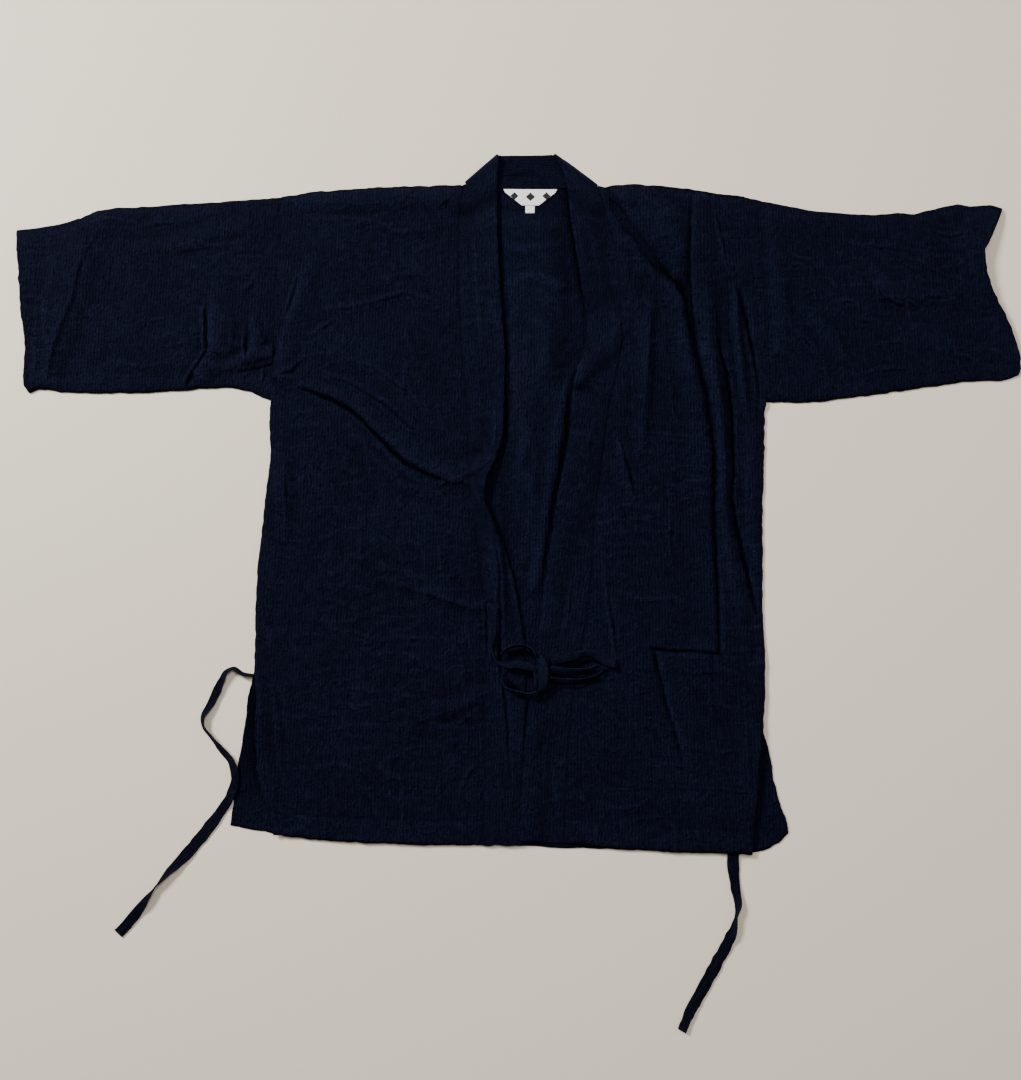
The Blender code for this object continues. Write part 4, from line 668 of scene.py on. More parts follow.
def cotton(name, weave, dark, light, stripe, pucker, depth, worn=0.0):
    """Crinkled cotton: its colour is painted from dark in the hollows to light on the puckers, as painted shade and
    painted highlight.
    """
    material = bpy.data.materials.new(name)
    material.use_nodes = True
    tree = material.node_tree
    shader = tree.nodes["Principled BSDF"]
    place = tree.nodes.new("ShaderNodeUVMap")
    place.uv_map = "grain"
    fabric = tree.nodes.new("ShaderNodeGroup")
    fabric.node_tree = weave
    fabric.inputs["Stripe"].default_value = stripe
    fabric.inputs["Pucker"].default_value = pucker
    tree.links.new(place.outputs[0], fabric.inputs["Vector"])
    spread = tree.nodes.new("ShaderNodeMapRange")
    spread.inputs["From Min"].default_value = -0.6
    spread.inputs["From Max"].default_value = 0.6
    tree.links.new(fabric.outputs["Painted light"], spread.inputs["Value"])
    mix = tree.nodes.new("ShaderNodeMix")
    mix.data_type = "RGBA"
    mix.inputs["A"].default_value = (*dark, 1)
    mix.inputs["B"].default_value = (*light, 1)
    tree.links.new(spread.outputs[0], mix.inputs["Factor"])
    patch = tree.nodes.new("ShaderNodeTexNoise")
    patch.noise_dimensions = "2D"
    patch.inputs["Scale"].default_value = 14.0
    patch.inputs["Detail"].default_value = 3.0
    tree.links.new(place.outputs[0], patch.inputs["Vector"])
    fade = tree.nodes.new("ShaderNodeMapRange")
    fade.inputs["From Min"].default_value = 0.3
    fade.inputs["From Max"].default_value = 0.7
    fade.inputs["To Min"].default_value = 0.88
    fade.inputs["To Max"].default_value = 1.12 + worn
    tree.links.new(patch.outputs["Fac"], fade.inputs["Value"])
    # painted shade and highlight: the colour is multiplied down where a point lies below what is around it, and up
    # where it stands above
    painted_shade = tree.nodes.new("ShaderNodeAttribute")
    painted_shade.attribute_name = "painted_shade"
    painted_shade_ramp = tree.nodes.new("ShaderNodeMapRange")
    painted_shade_ramp.inputs["From Min"].default_value = -0.5
    painted_shade_ramp.inputs["From Max"].default_value = 0.85
    painted_shade_ramp.inputs["To Min"].default_value = 1.45
    painted_shade_ramp.inputs["To Max"].default_value = 0.12
    tree.links.new(painted_shade.outputs["Fac"], painted_shade_ramp.inputs["Value"])
    shade = tree.nodes.new("ShaderNodeMix")
    shade.data_type = "RGBA"
    shade.blend_type = "MULTIPLY"
    shade.inputs["Factor"].default_value = 1.0
    tree.links.new(mix.outputs["Result"], shade.inputs["A"])
    tree.links.new(maths(tree, "MULTIPLY", fade.outputs[0], painted_shade_ramp.outputs[0]), shade.inputs["B"])
    tree.links.new(shade.outputs["Result"], shader.inputs["Base Color"])
    bump = tree.nodes.new("ShaderNodeBump")
    bump.inputs["Strength"].default_value = 1.0
    bump.inputs["Distance"].default_value = depth
    tree.links.new(fabric.outputs["Height"], bump.inputs["Height"])
    tree.links.new(bump.outputs["Normal"], shader.inputs["Normal"])
    shader.inputs["Roughness"].default_value = 0.82
    shader.inputs["Specular IOR Level"].default_value = 0.035
    shader.inputs["Specular Tint"].default_value = (0.55, 0.68, 1.0, 1)
    return material


def tape():
    """White woven tape: fine ribs across it."""
    material = bpy.data.materials.new("Label tape")
    material.use_nodes = True
    tree = material.node_tree
    shader = tree.nodes["Principled BSDF"]
    place = tree.nodes.new("ShaderNodeUVMap")
    place.uv_map = "grain"
    split = tree.nodes.new("ShaderNodeSeparateXYZ")
    tree.links.new(place.outputs[0], split.inputs[0])
    ribs = maths(tree, "SINE", maths(tree, "MULTIPLY", split.outputs[1], 2 * math.pi / 0.0007))
    threads = maths(tree, "SINE", maths(tree, "MULTIPLY", split.outputs[0], 2 * math.pi / 0.0005))
    height = maths(tree, "ADD", ribs, maths(tree, "MULTIPLY", threads, 0.5))
    bump = tree.nodes.new("ShaderNodeBump")
    bump.inputs["Strength"].default_value = 0.5
    bump.inputs["Distance"].default_value = 0.00012
    tree.links.new(height, bump.inputs["Height"])
    tree.links.new(bump.outputs["Normal"], shader.inputs["Normal"])
    soil = tree.nodes.new("ShaderNodeTexNoise")
    soil.noise_dimensions = "2D"
    soil.inputs["Scale"].default_value = 60.0
    tree.links.new(place.outputs[0], soil.inputs["Vector"])
    mix = tree.nodes.new("ShaderNodeMix")
    mix.data_type = "RGBA"
    mix.inputs["A"].default_value = (0.80, 0.82, 0.84, 1)
    mix.inputs["B"].default_value = (0.90, 0.91, 0.92, 1)
    tree.links.new(soil.outputs["Fac"], mix.inputs["Factor"])
    tree.links.new(mix.outputs["Result"], shader.inputs["Base Color"])
    shader.inputs["Roughness"].default_value = 0.6
    shader.inputs["Specular IOR Level"].default_value = 0.3
    return material


def plain(name, colour, roughness, specular=0.2):
    """A finish with a little mottle in its colour, on the piece's own coordinates."""
    material = bpy.data.materials.new(name)
    material.use_nodes = True
    tree = material.node_tree
    shader = tree.nodes["Principled BSDF"]
    place = tree.nodes.new("ShaderNodeTexCoord")
    mottle = tree.nodes.new("ShaderNodeTexNoise")
    mottle.inputs["Scale"].default_value = 900.0
    tree.links.new(place.outputs["Object"], mottle.inputs["Vector"])
    mix = tree.nodes.new("ShaderNodeMix")
    mix.data_type = "RGBA"
    mix.inputs["A"].default_value = (*(0.75 * c for c in colour), 1)
    mix.inputs["B"].default_value = (*(1.25 * c for c in colour), 1)
    tree.links.new(mottle.outputs["Fac"], mix.inputs["Factor"])
    tree.links.new(mix.outputs["Result"], shader.inputs["Base Color"])
    shader.inputs["Roughness"].default_value = roughness
    shader.inputs["Specular IOR Level"].default_value = specular
    return material


NAVY_DARK, NAVY_LIGHT = (0.0010, 0.0013, 0.0056), (0.0069, 0.0080, 0.0218)
SEERSUCKER = seersucker_group()
BODY_COTTON = cotton("Body cotton", SEERSUCKER, NAVY_DARK, NAVY_LIGHT, 0.0036, 0.0075, 0.0012)
BAND_COTTON = cotton("Band cotton", SEERSUCKER, NAVY_DARK, NAVY_LIGHT, 0.0036, 0.0075, 0.0010)
# the bow's tie cotton is a lighter copy of the body cotton: painted light, so the ribbons read as lit
TIE_COTTON = cotton("Tie cotton", SEERSUCKER, (0.0015, 0.0019, 0.0068), (0.0079, 0.0093, 0.0232), 0.0032, 0.006, 0.0008)
SIDE_TIE_COTTON = cotton(
    "Side tie cotton", SEERSUCKER, (0.0013, 0.0015, 0.0048), (0.0064, 0.0071, 0.0160), 0.0032, 0.006, 0.0008,
)
NAVY_THREAD = plain("Navy thread", (0.0032, 0.0040, 0.012), 0.8, 0.02)
TAPE = tape()
MARK_THREAD = plain("Mark thread", (0.012, 0.012, 0.016), 0.7)
WHITE_THREAD = plain("White thread", (0.75, 0.75, 0.74), 0.6, 0.3)


# Body panels


def panel_points(west, east, top, bottom, folds, size):
    """Plan points of a body panel, hem to shoulder, closer together where it folds and at its edges."""
    columns, rows = size
    grid = []
    for level in np.linspace(HEM_Y, SHOULDER_Y, rows):
        pull_up = max(0.0, (level - SHOULDER_PULL_Y) / (SHOULDER_Y - SHOULDER_PULL_Y))
        pull_down = max(0.0, (HEM_PULL_Y - level) / (HEM_PULL_Y - HEM_Y))

        def at(x, level=level, pull_up=pull_up, pull_down=pull_down):
            return level + (top(x) - SHOULDER_Y) * pull_up + (bottom(x) - HEM_Y) * pull_down

        left, right = west(level), east(level)
        left, right = west(at(left)), east(at(right))
        x = left + gathered(left, right, level, folds, columns) * (right - left)
        grid.append(np.column_stack([x, at(x)]))
    return np.array(grid)


def edge_distance(plan, sides):
    """How far each point of a grid is from those of its sides: west, east, bottom or top."""
    columns = {"west": plan[:, :1], "east": plan[:, -1:]}
    rows = {"bottom": plan[:1], "top": plan[-1:]}
    away = np.full(plan.shape[:2], 1e3)
    for side in sides:
        edge = columns.get(side, rows.get(side))
        axis = 0 if side in columns else 1
        away = np.minimum(away, np.abs(plan[..., axis] - edge[..., axis]))
    return away


def hem_rise(away, depth, high=0.55):
    """The second layer of a hem of that depth, and the small dip at its stitches."""
    rise = high / (1 + np.exp(np.clip((away - depth) / 0.9, -40, 40)))
    return rise - 0.35 * np.exp(-(((away - depth + 1.2) / 1.3) ** 2))


def front_height(side, x, y):
    """Top of a front's cloth above the floor, without its hems."""
    main, small = (FOLDS_RIGHT, CREASES_RIGHT) if side == "right" else (FOLDS_LEFT, CREASES_LEFT)
    return LAYER + CLOTH + raised(main, x, y) + creased(small, x, y) + crinkle(x, y, 11)


def front(side):
    if side == "right":
        seam = line(BAND_SEAM_RIGHT)
        plan = panel_points(
            line(ARMHOLE_RIGHT, SIDE_RIGHT, SLIT_RIGHT_FRONT), seam, line(SHOULDER_RIGHT),
            line(HEM_RIGHT), FOLDS_RIGHT, FRONT_GRID,
        )
        outer, inner, slit_top = "west", "east", SLIT_TOP_RIGHT
    else:
        seam = line(BAND_SEAM_LEFT)
        plan = panel_points(
            seam, line(ARMHOLE_LEFT, SIDE_LEFT, SLIT_LEFT_FRONT), line(SHOULDER_LEFT),
            line(HEM_LEFT), FOLDS_LEFT, FRONT_GRID,
        )
        outer, inner, slit_top = "east", "west", SLIT_TOP_LEFT
    x, y = plan[..., 0], plan[..., 1]
    high = front_height(side, x, y)
    high += hem_rise(edge_distance(plan, ["bottom"]), HEM_DEPTH)
    beside_slit = 1 / (1 + np.exp(np.clip((y - slit_top) / 4, -40, 40)))
    high += hem_rise(edge_distance(plan, [outer]), 9.0, 0.45) * beside_slit
    below_arm = 1 / (1 + np.exp(np.clip((y - UNDERARM_Y) / 3, -40, 40)))
    high -= (0.05 + 0.7 * below_arm) * np.exp(-edge_distance(plan, [outer]) / 1.4) * (1 - beside_slit)
    high -= 0.2 * np.exp(-edge_distance(plan, [inner]) / 1.2)
    high -= 0.8 * np.exp(-edge_distance(plan, ["top"]) / 3.0)
    high -= 0.3 * np.exp(-edge_distance(plan, ["bottom"]) / 1.6)
    outside = edge_distance(plan, [outer]) + 60 * (1 - np.maximum(below_arm, beside_slit))
    high += LOFT * (1 - np.exp(-np.minimum(outside, edge_distance(plan, [inner, "top", "bottom"])) / 6))
    high = np.maximum(high, LAYER + SHELL)
    place = wander(plan)
    if side == "left":
        place[..., 0] -= 0.5 * fold(FOLDS_LEFT["lip"], x, y)
    points = np.concatenate([place, high[..., None]], axis=-1)
    name = f"front_{side}"
    # painted shade: the colour darkens where the cloth lies low, and on the left front more in the valley and in the
    # corner beside the lip
    painted_shade = relief(high)
    if side == "left":
        painted_shade -= 0.07 * fold(CREASES_LEFT["valley"], x, y) + 0.16 * fold(CREASES_LEFT["corner"], x, y)
    piece = cloth(f"{name}_cloth", points, plan + 1000, SHELL, BODY_COTTON, name, painted_shade=painted_shade)
    slit = beside(points, outer, 7.7)
    rows = [beside(points, "bottom", HEM_DEPTH - 1.3), slit[slit[:, 1] < slit_top]]
    stitches(f"{name}_stitches", rows, NAVY_THREAD)


def back():
    plan = panel_points(
        line(ARMHOLE_RIGHT, SIDE_RIGHT, SLIT_RIGHT_BACK), line(ARMHOLE_LEFT, SIDE_LEFT, SLIT_LEFT_BACK),
        line(SHOULDER_RIGHT, NECKLINE, SHOULDER_LEFT), line(HEM_BACK),
        {"edge": [(x - 4, y, 6.0, 9, 9) for y, x in BAND_EDGE_LEFT], "rim": CREASES_INSIDE["rim"],
         "slit": [(x, y, 5.0, 14, 8) for y, x in SLIT_RIGHT_FRONT]}, BACK_GRID,
    )
    x, y = plan[..., 0], plan[..., 1]
    room = np.minimum(x - line(BAND_EDGE_RIGHT)(y) - 3, line(BAND_EDGE_LEFT)(y) - 2 - x)
    open_here = np.clip(room / 6, 0, 1) * np.clip((y + 150) / 20, 0, 1) * np.clip((340 - y) / 14, 0, 1)
    high = CLOTH + 0.1 + open_here * (raised(CREASES_INSIDE, x, y) + 0.8 * np.abs(crinkle(x, y, 31)) + 0.25)
    high -= 0.25 * np.exp(-edge_distance(plan, ["bottom"]) / 2)
    points = np.concatenate([wander(plan), high[..., None]], axis=-1)
    # painted shade: the back's colour is darkened where it lies low, and more close under the raised edge of the left
    # band
    below_edge = np.clip(line(BAND_EDGE_LEFT)(np.clip(y, -386, 332)) - np.clip(y - 332, 0, 60) * 0.13 - x, 0, 60)
    near_neck = np.clip((y - 200) / 40, 0, 1)
    painted_shade = relief(high) + near_neck * (0.55 * np.exp(-below_edge / 4) + 0.25 * np.exp(-below_edge / 14))
    # and painted shade where the back shows in the right slit, under the front's raised edge
    in_slit = np.clip((-218 - y) / 14, 0, 1) * np.clip((y + 352) / 40, 0, 1) * (x < -240)
    painted_shade += in_slit * (0.25 + 0.6 * np.exp(-np.abs(line(SLIT_RIGHT_FRONT)(y) - x) / 11))
    piece = cloth("back_cloth", points, plan + (2000, 1000), CLOTH, BODY_COTTON, "back", painted_shade=painted_shade)
    stitches("back_stitches", [beside(points, "bottom", HEM_DEPTH - 1.3)], NAVY_THREAD)


# Sleeves


def along(rows, shares):
    """Points at these shares of the length of the line through the rows."""
    rows = np.array(rows, float)
    reach = np.concatenate([[0], np.cumsum(np.linalg.norm(np.diff(rows, axis=0), axis=1))])
    return np.column_stack([np.interp(shares * reach[-1], reach, rows[:, k]) for k in (0, 1)])


def sleeve(side, top, under, cuff, folds, creases):
    """A flattened tube of thin cloth, open at the armhole and at the cuff, with rounded folded edges."""
    stations, count = SLEEVE_GRID
    s_all, shares = np.linspace(0, 1, stations), np.linspace(0, 1, count)
    upper, lower = along(top, s_all), along(under, s_all)
    mouth = along(cuff, shares)
    mouth[:, 0] += np.interp(shares, [0, 0.5, 1], [lower[-1, 0] - mouth[0, 0], 0, upper[-1, 0] - mouth[-1, 0]])
    mouth[:, 1] = np.interp(shares, [0, 1], [lower[-1, 1], upper[-1, 1]])
    seam = lower[0] * (1 - shares)[:, None] + upper[0] * shares[:, None]
    rings, uvs, forms = [], [], []
    for k, s in enumerate(s_all):
        v = shares[:, None]
        plan = (1 - v) * lower[k] + v * upper[k] + (1 - s) * seam + s * mouth
        plan -= (1 - s) * ((1 - v) * lower[0] + v * upper[0]) + s * ((1 - v) * lower[-1] + v * upper[-1])
        x, y = plan[:, 0], plan[:, 1]
        room = np.minimum(y - lower[k, 1], upper[k, 1] - y)
        soft = np.clip(room / 16, 0, 1)
        round_off = np.sqrt(np.clip(1 - (1 - np.clip(room / 2.4, 0, 1)) ** 2, 0, 1))
        form = raised(folds, x, y) + creased(creases, x, y) + LOFT
        form = np.maximum(form * soft * (2 - soft) + crinkle(x, y, 11) * soft, -0.6)
        high = 1.35 + round_off * (1.35 + form)
        low = 1.35 - 1.3 * round_off
        forms.append(np.concatenate([0 * form, form[::-1][1:]]))
        from_cuff = (1 - s) * 310.0
        high += hem_rise(np.full_like(high, from_cuff), CUFF_HEM, 0.5) * round_off
        high -= 0.3 * math.exp(-s * 310.0 / 1.6) * round_off
        rings.append(np.concatenate([np.column_stack([plan, low]), np.column_stack([plan, high])[::-1][1:]]))
        uvs.append(np.concatenate([plan + (3000, 1000), (plan + (4400, 1000))[::-1][1:]]))
    # painted shade, darker where the sleeve's folds lie low
    points, uv, painted_shade = np.array(rings), np.array(uvs), relief(np.array(forms))
    points[..., :2] = wander(points[..., :2])
    if side == "right":
        points, uv, painted_shade = points[::-1], uv[::-1], painted_shade[::-1]
    name = f"sleeve_{side}"
    piece = cloth(f"{name}_cloth", points, uv, SHELL, BODY_COTTON, name, closed=True, painted_shade=painted_shade)
    cuff_end = "bottom" if side == "right" else "top"
    stitches(f"{name}_stitches", [beside(points, cuff_end, CUFF_HEM - 1.3)], NAVY_THREAD)


# Collar band


def across(start, end, count):
    shares = np.linspace(0, 1, count)[:, None]
    return np.array(start, float) * (1 - shares) + np.array(end, float) * shares


def turned_over(fold_line, folds, count, steps):
    """Stations round the fold at one side of the neck, from the upper layer to the lower one."""
    start, end = (np.array(p, float) for p in fold_line)
    way = (end - start) / np.linalg.norm(end - start)
    outward = np.array([-way[1], way[0]]) * (1 if way[0] > 0 else -1)
    edge = across(start, end, count)
    inner = edge - outward * (BAND_SHELL + 1.6)
    radius = (LAYER + raised(folds, inner[:, 0], inner[:, 1]) - NECK_TOP) / 2
    centre = edge - outward * (BAND_SHELL + radius)[:, None]
    stations = []
    shares = np.linspace(0, 1, count)[:, None]
    for angle in np.radians(np.linspace(90, -90, steps)):
        plan = centre + outward * (radius * math.cos(angle))[:, None]
        plan = plan + way * (3.2 * max(0.0, -math.sin(angle)) * shares**6)
        stations.append(np.column_stack([plan, NECK_TOP + radius * (1 + math.sin(angle))]))
    return stations


def blend_stations(first, last, steps):
    """Stations between these two, both left out."""
    return [first * (1 - t) + last * t for t in np.linspace(0, 1, steps + 2)[1:-1]]


def band_front(side, count):
    """Stations of one front's band from the hem to the neck fold, at the band's underside."""
    right = side == "right"
    seam, edge = (line(BAND_SEAM_RIGHT), line(BAND_EDGE_RIGHT)) if right else (line(BAND_SEAM_LEFT), line(BAND_EDGE_LEFT))
    hem_seam, hem_edge = (-392, -391.5) if right else (-388.5, -386)
    folds, creases = (FOLDS_RIGHT, CREASES_BAND_RIGHT) if right else (FOLDS_LEFT, CREASES_BAND_LEFT)
    neck = NECK_RIGHT if right else NECK_LEFT
    plans = []
    for level in np.arange(HEM_Y, 322.5, BAND_STEP):
        pull = max(0.0, (HEM_PULL_Y - level) / (HEM_PULL_Y - HEM_Y))
        plans.append(across((seam(level), level + (hem_seam - HEM_Y) * pull),
                            (edge(level), level + (hem_edge - HEM_Y) * pull), count))
    rows = [across(row[:2], row[2:], count) for row in neck]
    plans += blend_stations(plans[-1], rows[0], 6) + [rows[0]] + blend_stations(rows[0], rows[1], 3) + [rows[1]]
    plans = np.array(plans)
    x, y = plans[..., 0], plans[..., 1]
    high = LAYER - 0.35 + raised(folds, x, y)
    high += 0.8 * LOFT * np.clip((345 - y) / 60, 0, 1) * (1 - np.exp(-np.abs(x - x[:, :1]) / 6))
    small = creased(creases, x, y) + 0.85 * crinkle(x, y, 11)
    high = np.maximum(high + small * np.clip((345 - y) / 20, 0, 1), LAYER - 0.4)
    return np.concatenate([wander(plans), high[..., None]], axis=-1)


def collar():
    count = BAND_POINTS
    right, left = band_front("right", count), band_front("left", count)
    turn_right = np.array(turned_over(FOLD_RIGHT, FOLDS_RIGHT, count, 9))
    turn_left = np.array(turned_over(FOLD_LEFT, FOLDS_LEFT, count, 9))[::-1]
    backs = [np.column_stack([across(row[:2], row[2:], count), np.full(count, NECK_TOP)]) for row in NECK_BACK]
    neck = []
    for first, last in zip([turn_right[-1], *backs], [*backs, turn_left[0]]):
        neck += blend_stations(first, last, 4) + [last]
    neck = np.array(neck[:-1])
    x, y = neck[..., 0], neck[..., 1]
    neck[..., 2] -= 0.9 * np.exp(-((y - 382) / 4) ** 2) * np.exp(-((x + 6) / 16) ** 2) + 0.3 * np.abs(waves(x, y, 14, 12, 61))
    before = blend_stations(right[-1], turn_right[0], 4)
    after = blend_stations(turn_left[-1], left[-1], 4)
    points = np.concatenate([right, before, turn_right, neck, turn_left, after, left[::-1]])
    # the wall is built outwards from the underside, so the top is the underside moved out
    reach = np.concatenate([[0], np.cumsum(np.linalg.norm(np.diff(points[:, count // 2], axis=0), axis=1))])
    width = np.linspace(0, 50, count)
    uv = np.stack([np.broadcast_to(width + 5000, points.shape[:2]), np.broadcast_to(reach[:, None] + 100, points.shape[:2])], axis=-1)
    piece = cloth("collar_cloth", points, uv, BAND_SHELL, BAND_COTTON, "collar", offset=1.0, even=False)
    soften = piece.modifiers.new("folded edges", "BEVEL")
    soften.width = 0.7 * MM
    soften.segments = 2
    soften.limit_method = "ANGLE"
    soften.angle_limit = math.radians(50)
    top = points + (0, 0, BAND_SHELL)
    fronts = [top[: len(right)], top[-len(left):]]
    stitches("collar_stitches", [beside(side, "west", 2.2) for side in fronts], NAVY_THREAD)


# Pocket, label


def pocket():
    columns, rows = POCKET_GRID
    low_west, low_east, high_east, high_west = (np.array(p, float) for p in POCKET_BOX)
    grid = []
    for v in np.linspace(0, 1, rows):
        west, east = low_west * (1 - v) + high_west * v, low_east * (1 - v) + high_east * v
        grid.append(across(west, east, columns))
    plan = np.array(grid)
    x, y = plan[..., 0], plan[..., 1]
    near = [raised(FOLDS_LEFT, x + dx, y + dy) for dx in (-9, -4, 0, 4, 9) for dy in (-6, 0, 6)]
    under = np.mean(near, axis=0) * 0.5 + np.max(near, axis=0) * 0.5
    away = edge_distance(plan, ["west", "east", "bottom"])
    inside = 1 - np.exp(-away / 4)
    beneath = front_height("left", x, y) + LOFT + 0.14
    own = np.maximum(LAYER + CLOTH + LOFT + under + 0.3, beneath + 0.2)
    own += raised(POCKET_LIFTS, x, y) + creased(CREASES_POCKET, x, y) + 0.5 * crinkle(x, y, 71)
    high = (beneath - 0.5) * (1 - inside) + (POCKET_SHELL + np.maximum(own, beneath)) * inside
    high += hem_rise(away, 9.0, 0.25) * inside + hem_rise(edge_distance(plan, ["top"]), 24.0, 0.45) * inside
    points = np.concatenate([wander(plan), high[..., None]], axis=-1)
    # painted shade where the pocket lies low, faded out towards its edges
    painted_shade = relief(high) * (1 - np.exp(-away / 5))
    piece = cloth("pocket_cloth", points, plan + 1000, POCKET_SHELL, BODY_COTTON, "pocket", painted_shade=painted_shade)
    rows = [beside(points, side, depth) for side in ("west", "east", "bottom") for depth in (1.8, 7.5)]
    stitches("pocket_stitches", rows + [beside(points, "top", 22.6)], NAVY_THREAD)


def label():
    """White tape with plain diamonds, in place of the words on the real one."""
    columns = 41
    rows = []
    for y in np.linspace(LABEL_ROWS[-1][0], LABEL_ROWS[0][0], 22):
        half = np.interp(y, [r[0] for r in LABEL_ROWS[::-1]], [r[1] for r in LABEL_ROWS[::-1]])
        x = np.linspace(LABEL_X - half, LABEL_X + half, columns)
        z = LAYER + TIE * 0.5 + 0.45 + 0.18 * waves(x, np.full(columns, y), 14, 9, 81)
        rows.append(np.column_stack([x, np.full(columns, y), z]))
    points = np.array(rows)
    piece = cloth("label_tape", points, points[..., :2], 0.5, TAPE, "label")
    low, high = SIZE_TAB
    rows = []
    for y in np.linspace(low[1], high[1], 8):
        x = np.linspace(low[0], high[0], 9)
        rows.append(np.column_stack([x, np.full(9, y), np.full(9, LAYER + 0.8) + 0.1 * waves(x, np.full(9, y), 6, 6, 82)]))
    points = np.array(rows)
    piece = cloth("size_tab_tape", points, points[..., :2], 0.5, TAPE, "size_tab")
    bm = bmesh.new()
    for x, y, half in LABEL_MARKS:
        made = bmesh.ops.create_cone(bm, cap_ends=True, segments=4, radius1=half * MM, radius2=half * MM, depth=0.16 * MM)
        bmesh.ops.translate(bm, verts=made["verts"], vec=Vector((x, y, LAYER + 1.18)) * MM)
    bmesh.ops.bevel(bm, geom=bm.edges[:], offset=0.05 * MM, offset_type="OFFSET", segments=1, profile=0.5, affect="EDGES", material=-1)
    marks = finish_mesh("label_marks", bm, MARK_THREAD)
    marks.data.set_sharp_from_angle(angle=math.radians(30))


# Ties and bow


def smooth(rows, step):
    """Rows along a smooth curve through these rows, about that far apart."""
    rows = np.array(rows, float)
    reach = np.concatenate([[0], np.cumsum(np.linalg.norm(np.diff(rows[:, :2], axis=0), axis=1))])
    slope = np.gradient(rows, reach, axis=0)
    made = []
    for s in np.linspace(0, reach[-1], max(3, round(reach[-1] / step) + 1)):
        k = min(int(np.searchsorted(reach, s, side="right")) - 1, len(rows) - 2)
        span = reach[k + 1] - reach[k]
        t = (s - reach[k]) / span
        made.append(
            rows[k] * (1 + 2 * t) * (1 - t) ** 2 + slope[k] * span * t * (1 - t) ** 2
            + rows[k + 1] * t * t * (3 - 2 * t) + slope[k + 1] * span * t * t * (t - 1)
        )
    return np.array(made)


def ribbon_grid(middle, width, up, half, seed, crown=0.25):
    """Points of a ribbon across its middle line, a little crowned and crumpled."""
    shares = np.linspace(-1, 1, 9)
    reach = np.concatenate([[0], np.cumsum(np.linalg.norm(np.diff(middle, axis=0), axis=1))])
    grid = []
    for k, point in enumerate(middle):
        bump = crown * (1 - shares**2) + 0.28 * waves(np.full(9, reach[k]), shares * 9 + 40, 7.0, 5.0, seed)
        side = np.where(shares < 0, 0.0, 30.0)
        slack = half[k] * (1 + 0.11 * waves(np.full(9, reach[k]), side, 7.0, 5.0, seed + 1))
        grid.append(point + (shares * slack)[:, None] * width[k] + bump[:, None] * up[k])
    uv = np.stack([np.broadcast_to(shares * 6 + 7000 + seed * 30, (len(middle), 9)), np.broadcast_to(reach[:, None], (len(middle), 9))], axis=-1)
    return np.array(grid), uv, reach[-1]


def tie_piece(name, middle, width, half, node, seed, material):
    way = np.gradient(middle, axis=0)
    way /= np.linalg.norm(way, axis=1)[:, None]
    up = np.cross(way, width)
    up /= np.linalg.norm(up, axis=1)[:, None]
    up *= np.where(up[:, 2:3] < -0.2, -1.0, 1.0)
    points, uv, reach = ribbon_grid(middle, width, up, half, seed)
    piece = cloth(name, points, uv, TIE, material, node, offset=0.0)
    soften = piece.modifiers.new("folded edges", "BEVEL")
    soften.width = 0.35 * MM
    soften.segments = 2
    soften.limit_method = "ANGLE"
    soften.angle_limit = math.radians(60)
    return piece, reach


def laid_tie(side, rows, seed):
    """A loose side tie, flat on what is below it and leaning where the rows say."""
    rows = smooth(rows, 2.5)
    rows[:, 2] = np.maximum(rows[:, 2], 0.1)
    way = np.gradient(rows[:, :2], axis=0)
    lean = np.radians(rows[:, 4])
    half = rows[:, 3] / 2
    flat = np.column_stack([-way[:, 1], way[:, 0]]) / np.linalg.norm(way, axis=1)[:, None]
    width = np.column_stack([flat * np.cos(lean)[:, None], np.sin(lean)])
    middle = np.column_stack([rows[:, :2], rows[:, 2] + half * np.sin(np.abs(lean)) + TIE / 2 + 0.3])
    piece, reach = tie_piece(f"side_tie_{side}_cloth", middle, width, half, f"side_tie_{side}", seed, SIDE_TIE_COTTON)
    return middle, width, half


def bow_ribbon(name, rows, seed, node=None):
    """A stretch of tie in the bow, with its width set by bearing and rise."""
    rows = smooth(rows, 1.6)
    rows[:, 2] += BOW_LIFT
    bearing, rise = np.radians(rows[:, 3]), np.radians(rows[:, 4])
    width = np.column_stack([np.cos(rise) * np.cos(bearing), np.cos(rise) * np.sin(bearing), np.sin(rise)])
    half = np.full(len(rows), BOW_WIDTH / 2)
    piece, reach = tie_piece(f"{name}_cloth", rows[:, :3], width, half, node, seed, TIE_COTTON)


def knot():
    """The knot's core: a ball of tie cotton, squashed and drawn in at both ends; the wrap over the bow is a ribbon of
    its own.
    """
    bm = bmesh.new()
    bmesh.ops.create_uvsphere(bm, u_segments=32, v_segments=20, radius=1)
    bmesh.ops.scale(bm, verts=bm.verts, vec=[half * MM for half in KNOT_CORE_HALF])
    bmesh.ops.translate(bm, verts=bm.verts, vec=[place * MM for place in KNOT_CORE_AT])
    layer = bm.loops.layers.uv.new("grain")
    for face in bm.faces:
        for loop in face.loops:
            loop[layer].uv = (loop.vert.co.x + 8.0, loop.vert.co.y)
    piece = finish_mesh("bow_knot_cloth", bm, TIE_COTTON)
    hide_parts("bow_knot")


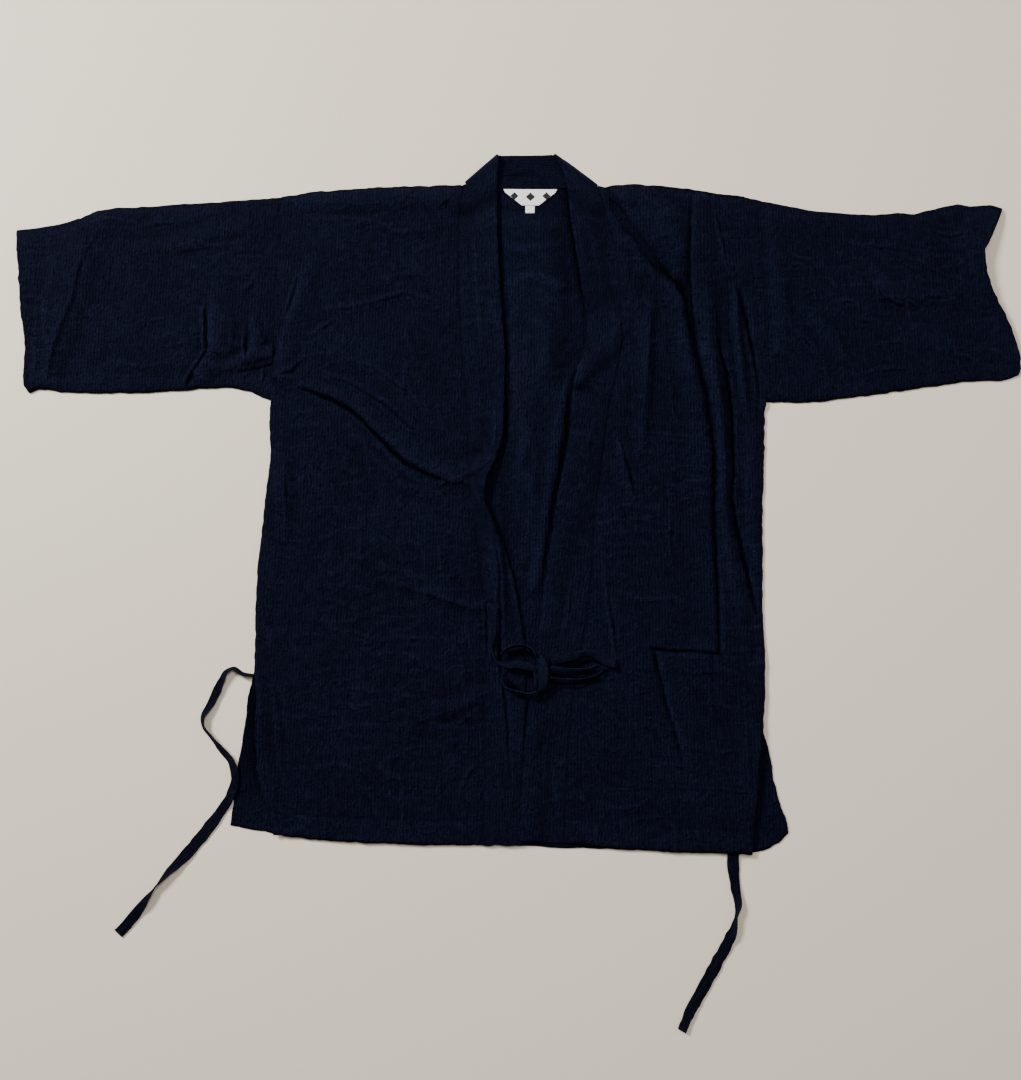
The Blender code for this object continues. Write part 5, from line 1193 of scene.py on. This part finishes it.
def build():
    back()
    front("right")
    front("left")
    sleeve("right", SLEEVE_RIGHT_TOP, SLEEVE_RIGHT_UNDER, SLEEVE_RIGHT_CUFF, FOLDS_SLEEVE_RIGHT, CREASES_SLEEVE_RIGHT)
    sleeve("left", SLEEVE_LEFT_TOP, SLEEVE_LEFT_UNDER, SLEEVE_LEFT_CUFF, FOLDS_SLEEVE_LEFT, CREASES_SLEEVE_LEFT)
    collar()
    pocket()
    label()
    laid_tie("right", SIDE_TIE_RIGHT, 101)
    laid_tie("left", SIDE_TIE_LEFT, 103)
    bow_ribbon("front_tie_right", FRONT_TIE_RIGHT, 105, "front_tie_right")
    bow_ribbon("front_tie_left", FRONT_TIE_LEFT, 107, "front_tie_left")
    bow_ribbon("bow_loop_top", BOW_LOOP_TOP, 109, "bow_loop_top")
    bow_ribbon("bow_ear_left", BOW_EAR_LEFT, 111, "bow_ear_left")
    bow_ribbon("bow_ear_right", BOW_EAR_RIGHT, 113, "bow_ear_right")
    bow_ribbon("bow_end", BOW_END, 115, "bow_end")
    knot()
    bow_ribbon("bow_knot_wrap", KNOT_WRAP, 117)
    bow_ribbon("bow_knot_turn", KNOT_TURN, 119)


# Floor, light and camera


def floor():
    bm = bmesh.new()
    bmesh.ops.create_grid(bm, x_segments=1, y_segments=1, size=6)
    mesh = bpy.data.meshes.new("floor")
    bm.to_mesh(mesh)
    bm.free()
    obj = bpy.data.objects.new("floor", mesh)
    bpy.context.scene.collection.objects.link(obj)
    obj.location = (0, 0, -0.0002)
    material = bpy.data.materials.new("Pale floor")
    material.use_nodes = True
    shader = material.node_tree.nodes["Principled BSDF"]
    shader.inputs["Base Color"].default_value = (0.75, 0.675, 0.555, 1)
    shader.inputs["Roughness"].default_value = 0.55
    shader.inputs["Specular IOR Level"].default_value = 0.25
    mesh.materials.append(material)


def area_light(name, place, target, size, power, colour):
    light = bpy.data.lights.new(name, "AREA")
    light.shape = "RECTANGLE"
    light.size, light.size_y = size
    light.energy = power
    light.color = colour
    obj = bpy.data.objects.new(name, light)
    bpy.context.scene.collection.objects.link(obj)
    obj.location = place
    obj.rotation_euler = (Vector(target) - Vector(place)).to_track_quat("-Z", "Y").to_euler()


def studio():
    world = bpy.data.worlds.new("soft room")
    bpy.context.scene.world = world
    world.use_nodes = True
    world.node_tree.nodes["Background"].inputs["Color"].default_value = (1.0, 0.98, 0.95, 1)
    world.node_tree.nodes["Background"].inputs["Strength"].default_value = 0.22
    area_light("window", (-2.2, 1.55, 2.0), (0, 0, 0), (0.8, 0.8), 175, (1.0, 0.98, 0.95))
    area_light("far window", (2.4, 0.6, 1.0), (0, 0, 0), (0.6, 0.6), 8, (1.0, 0.98, 0.95))
    area_light("ceiling", (0.3, 0.6, 2.4), (0.1, 0, 0), (1.0, 1.0), 30, (1.0, 0.97, 0.92))


def camera():
    eye = Vector((0.0007, -0.2605, 1.1767))
    look = Vector((-0.0077, 0.1685, -0.9857)).normalized()
    up = Vector((-0.0066, 0.9858, 0.168))
    side = look.cross(up).normalized()
    up = side.cross(look)
    data = bpy.data.cameras.new("photo camera")
    data.lens = 35.333
    data.sensor_width = 36
    data.clip_start = 0.01
    obj = bpy.data.objects.new("photo camera", data)
    bpy.context.scene.collection.objects.link(obj)
    turned = Matrix((side, up, -look)).transposed().to_4x4()
    obj.matrix_world = Matrix.Translation(eye) @ turned
    bpy.context.scene.camera = obj


build()
floor()
studio()
camera()

bpy.context.view_layer.update()
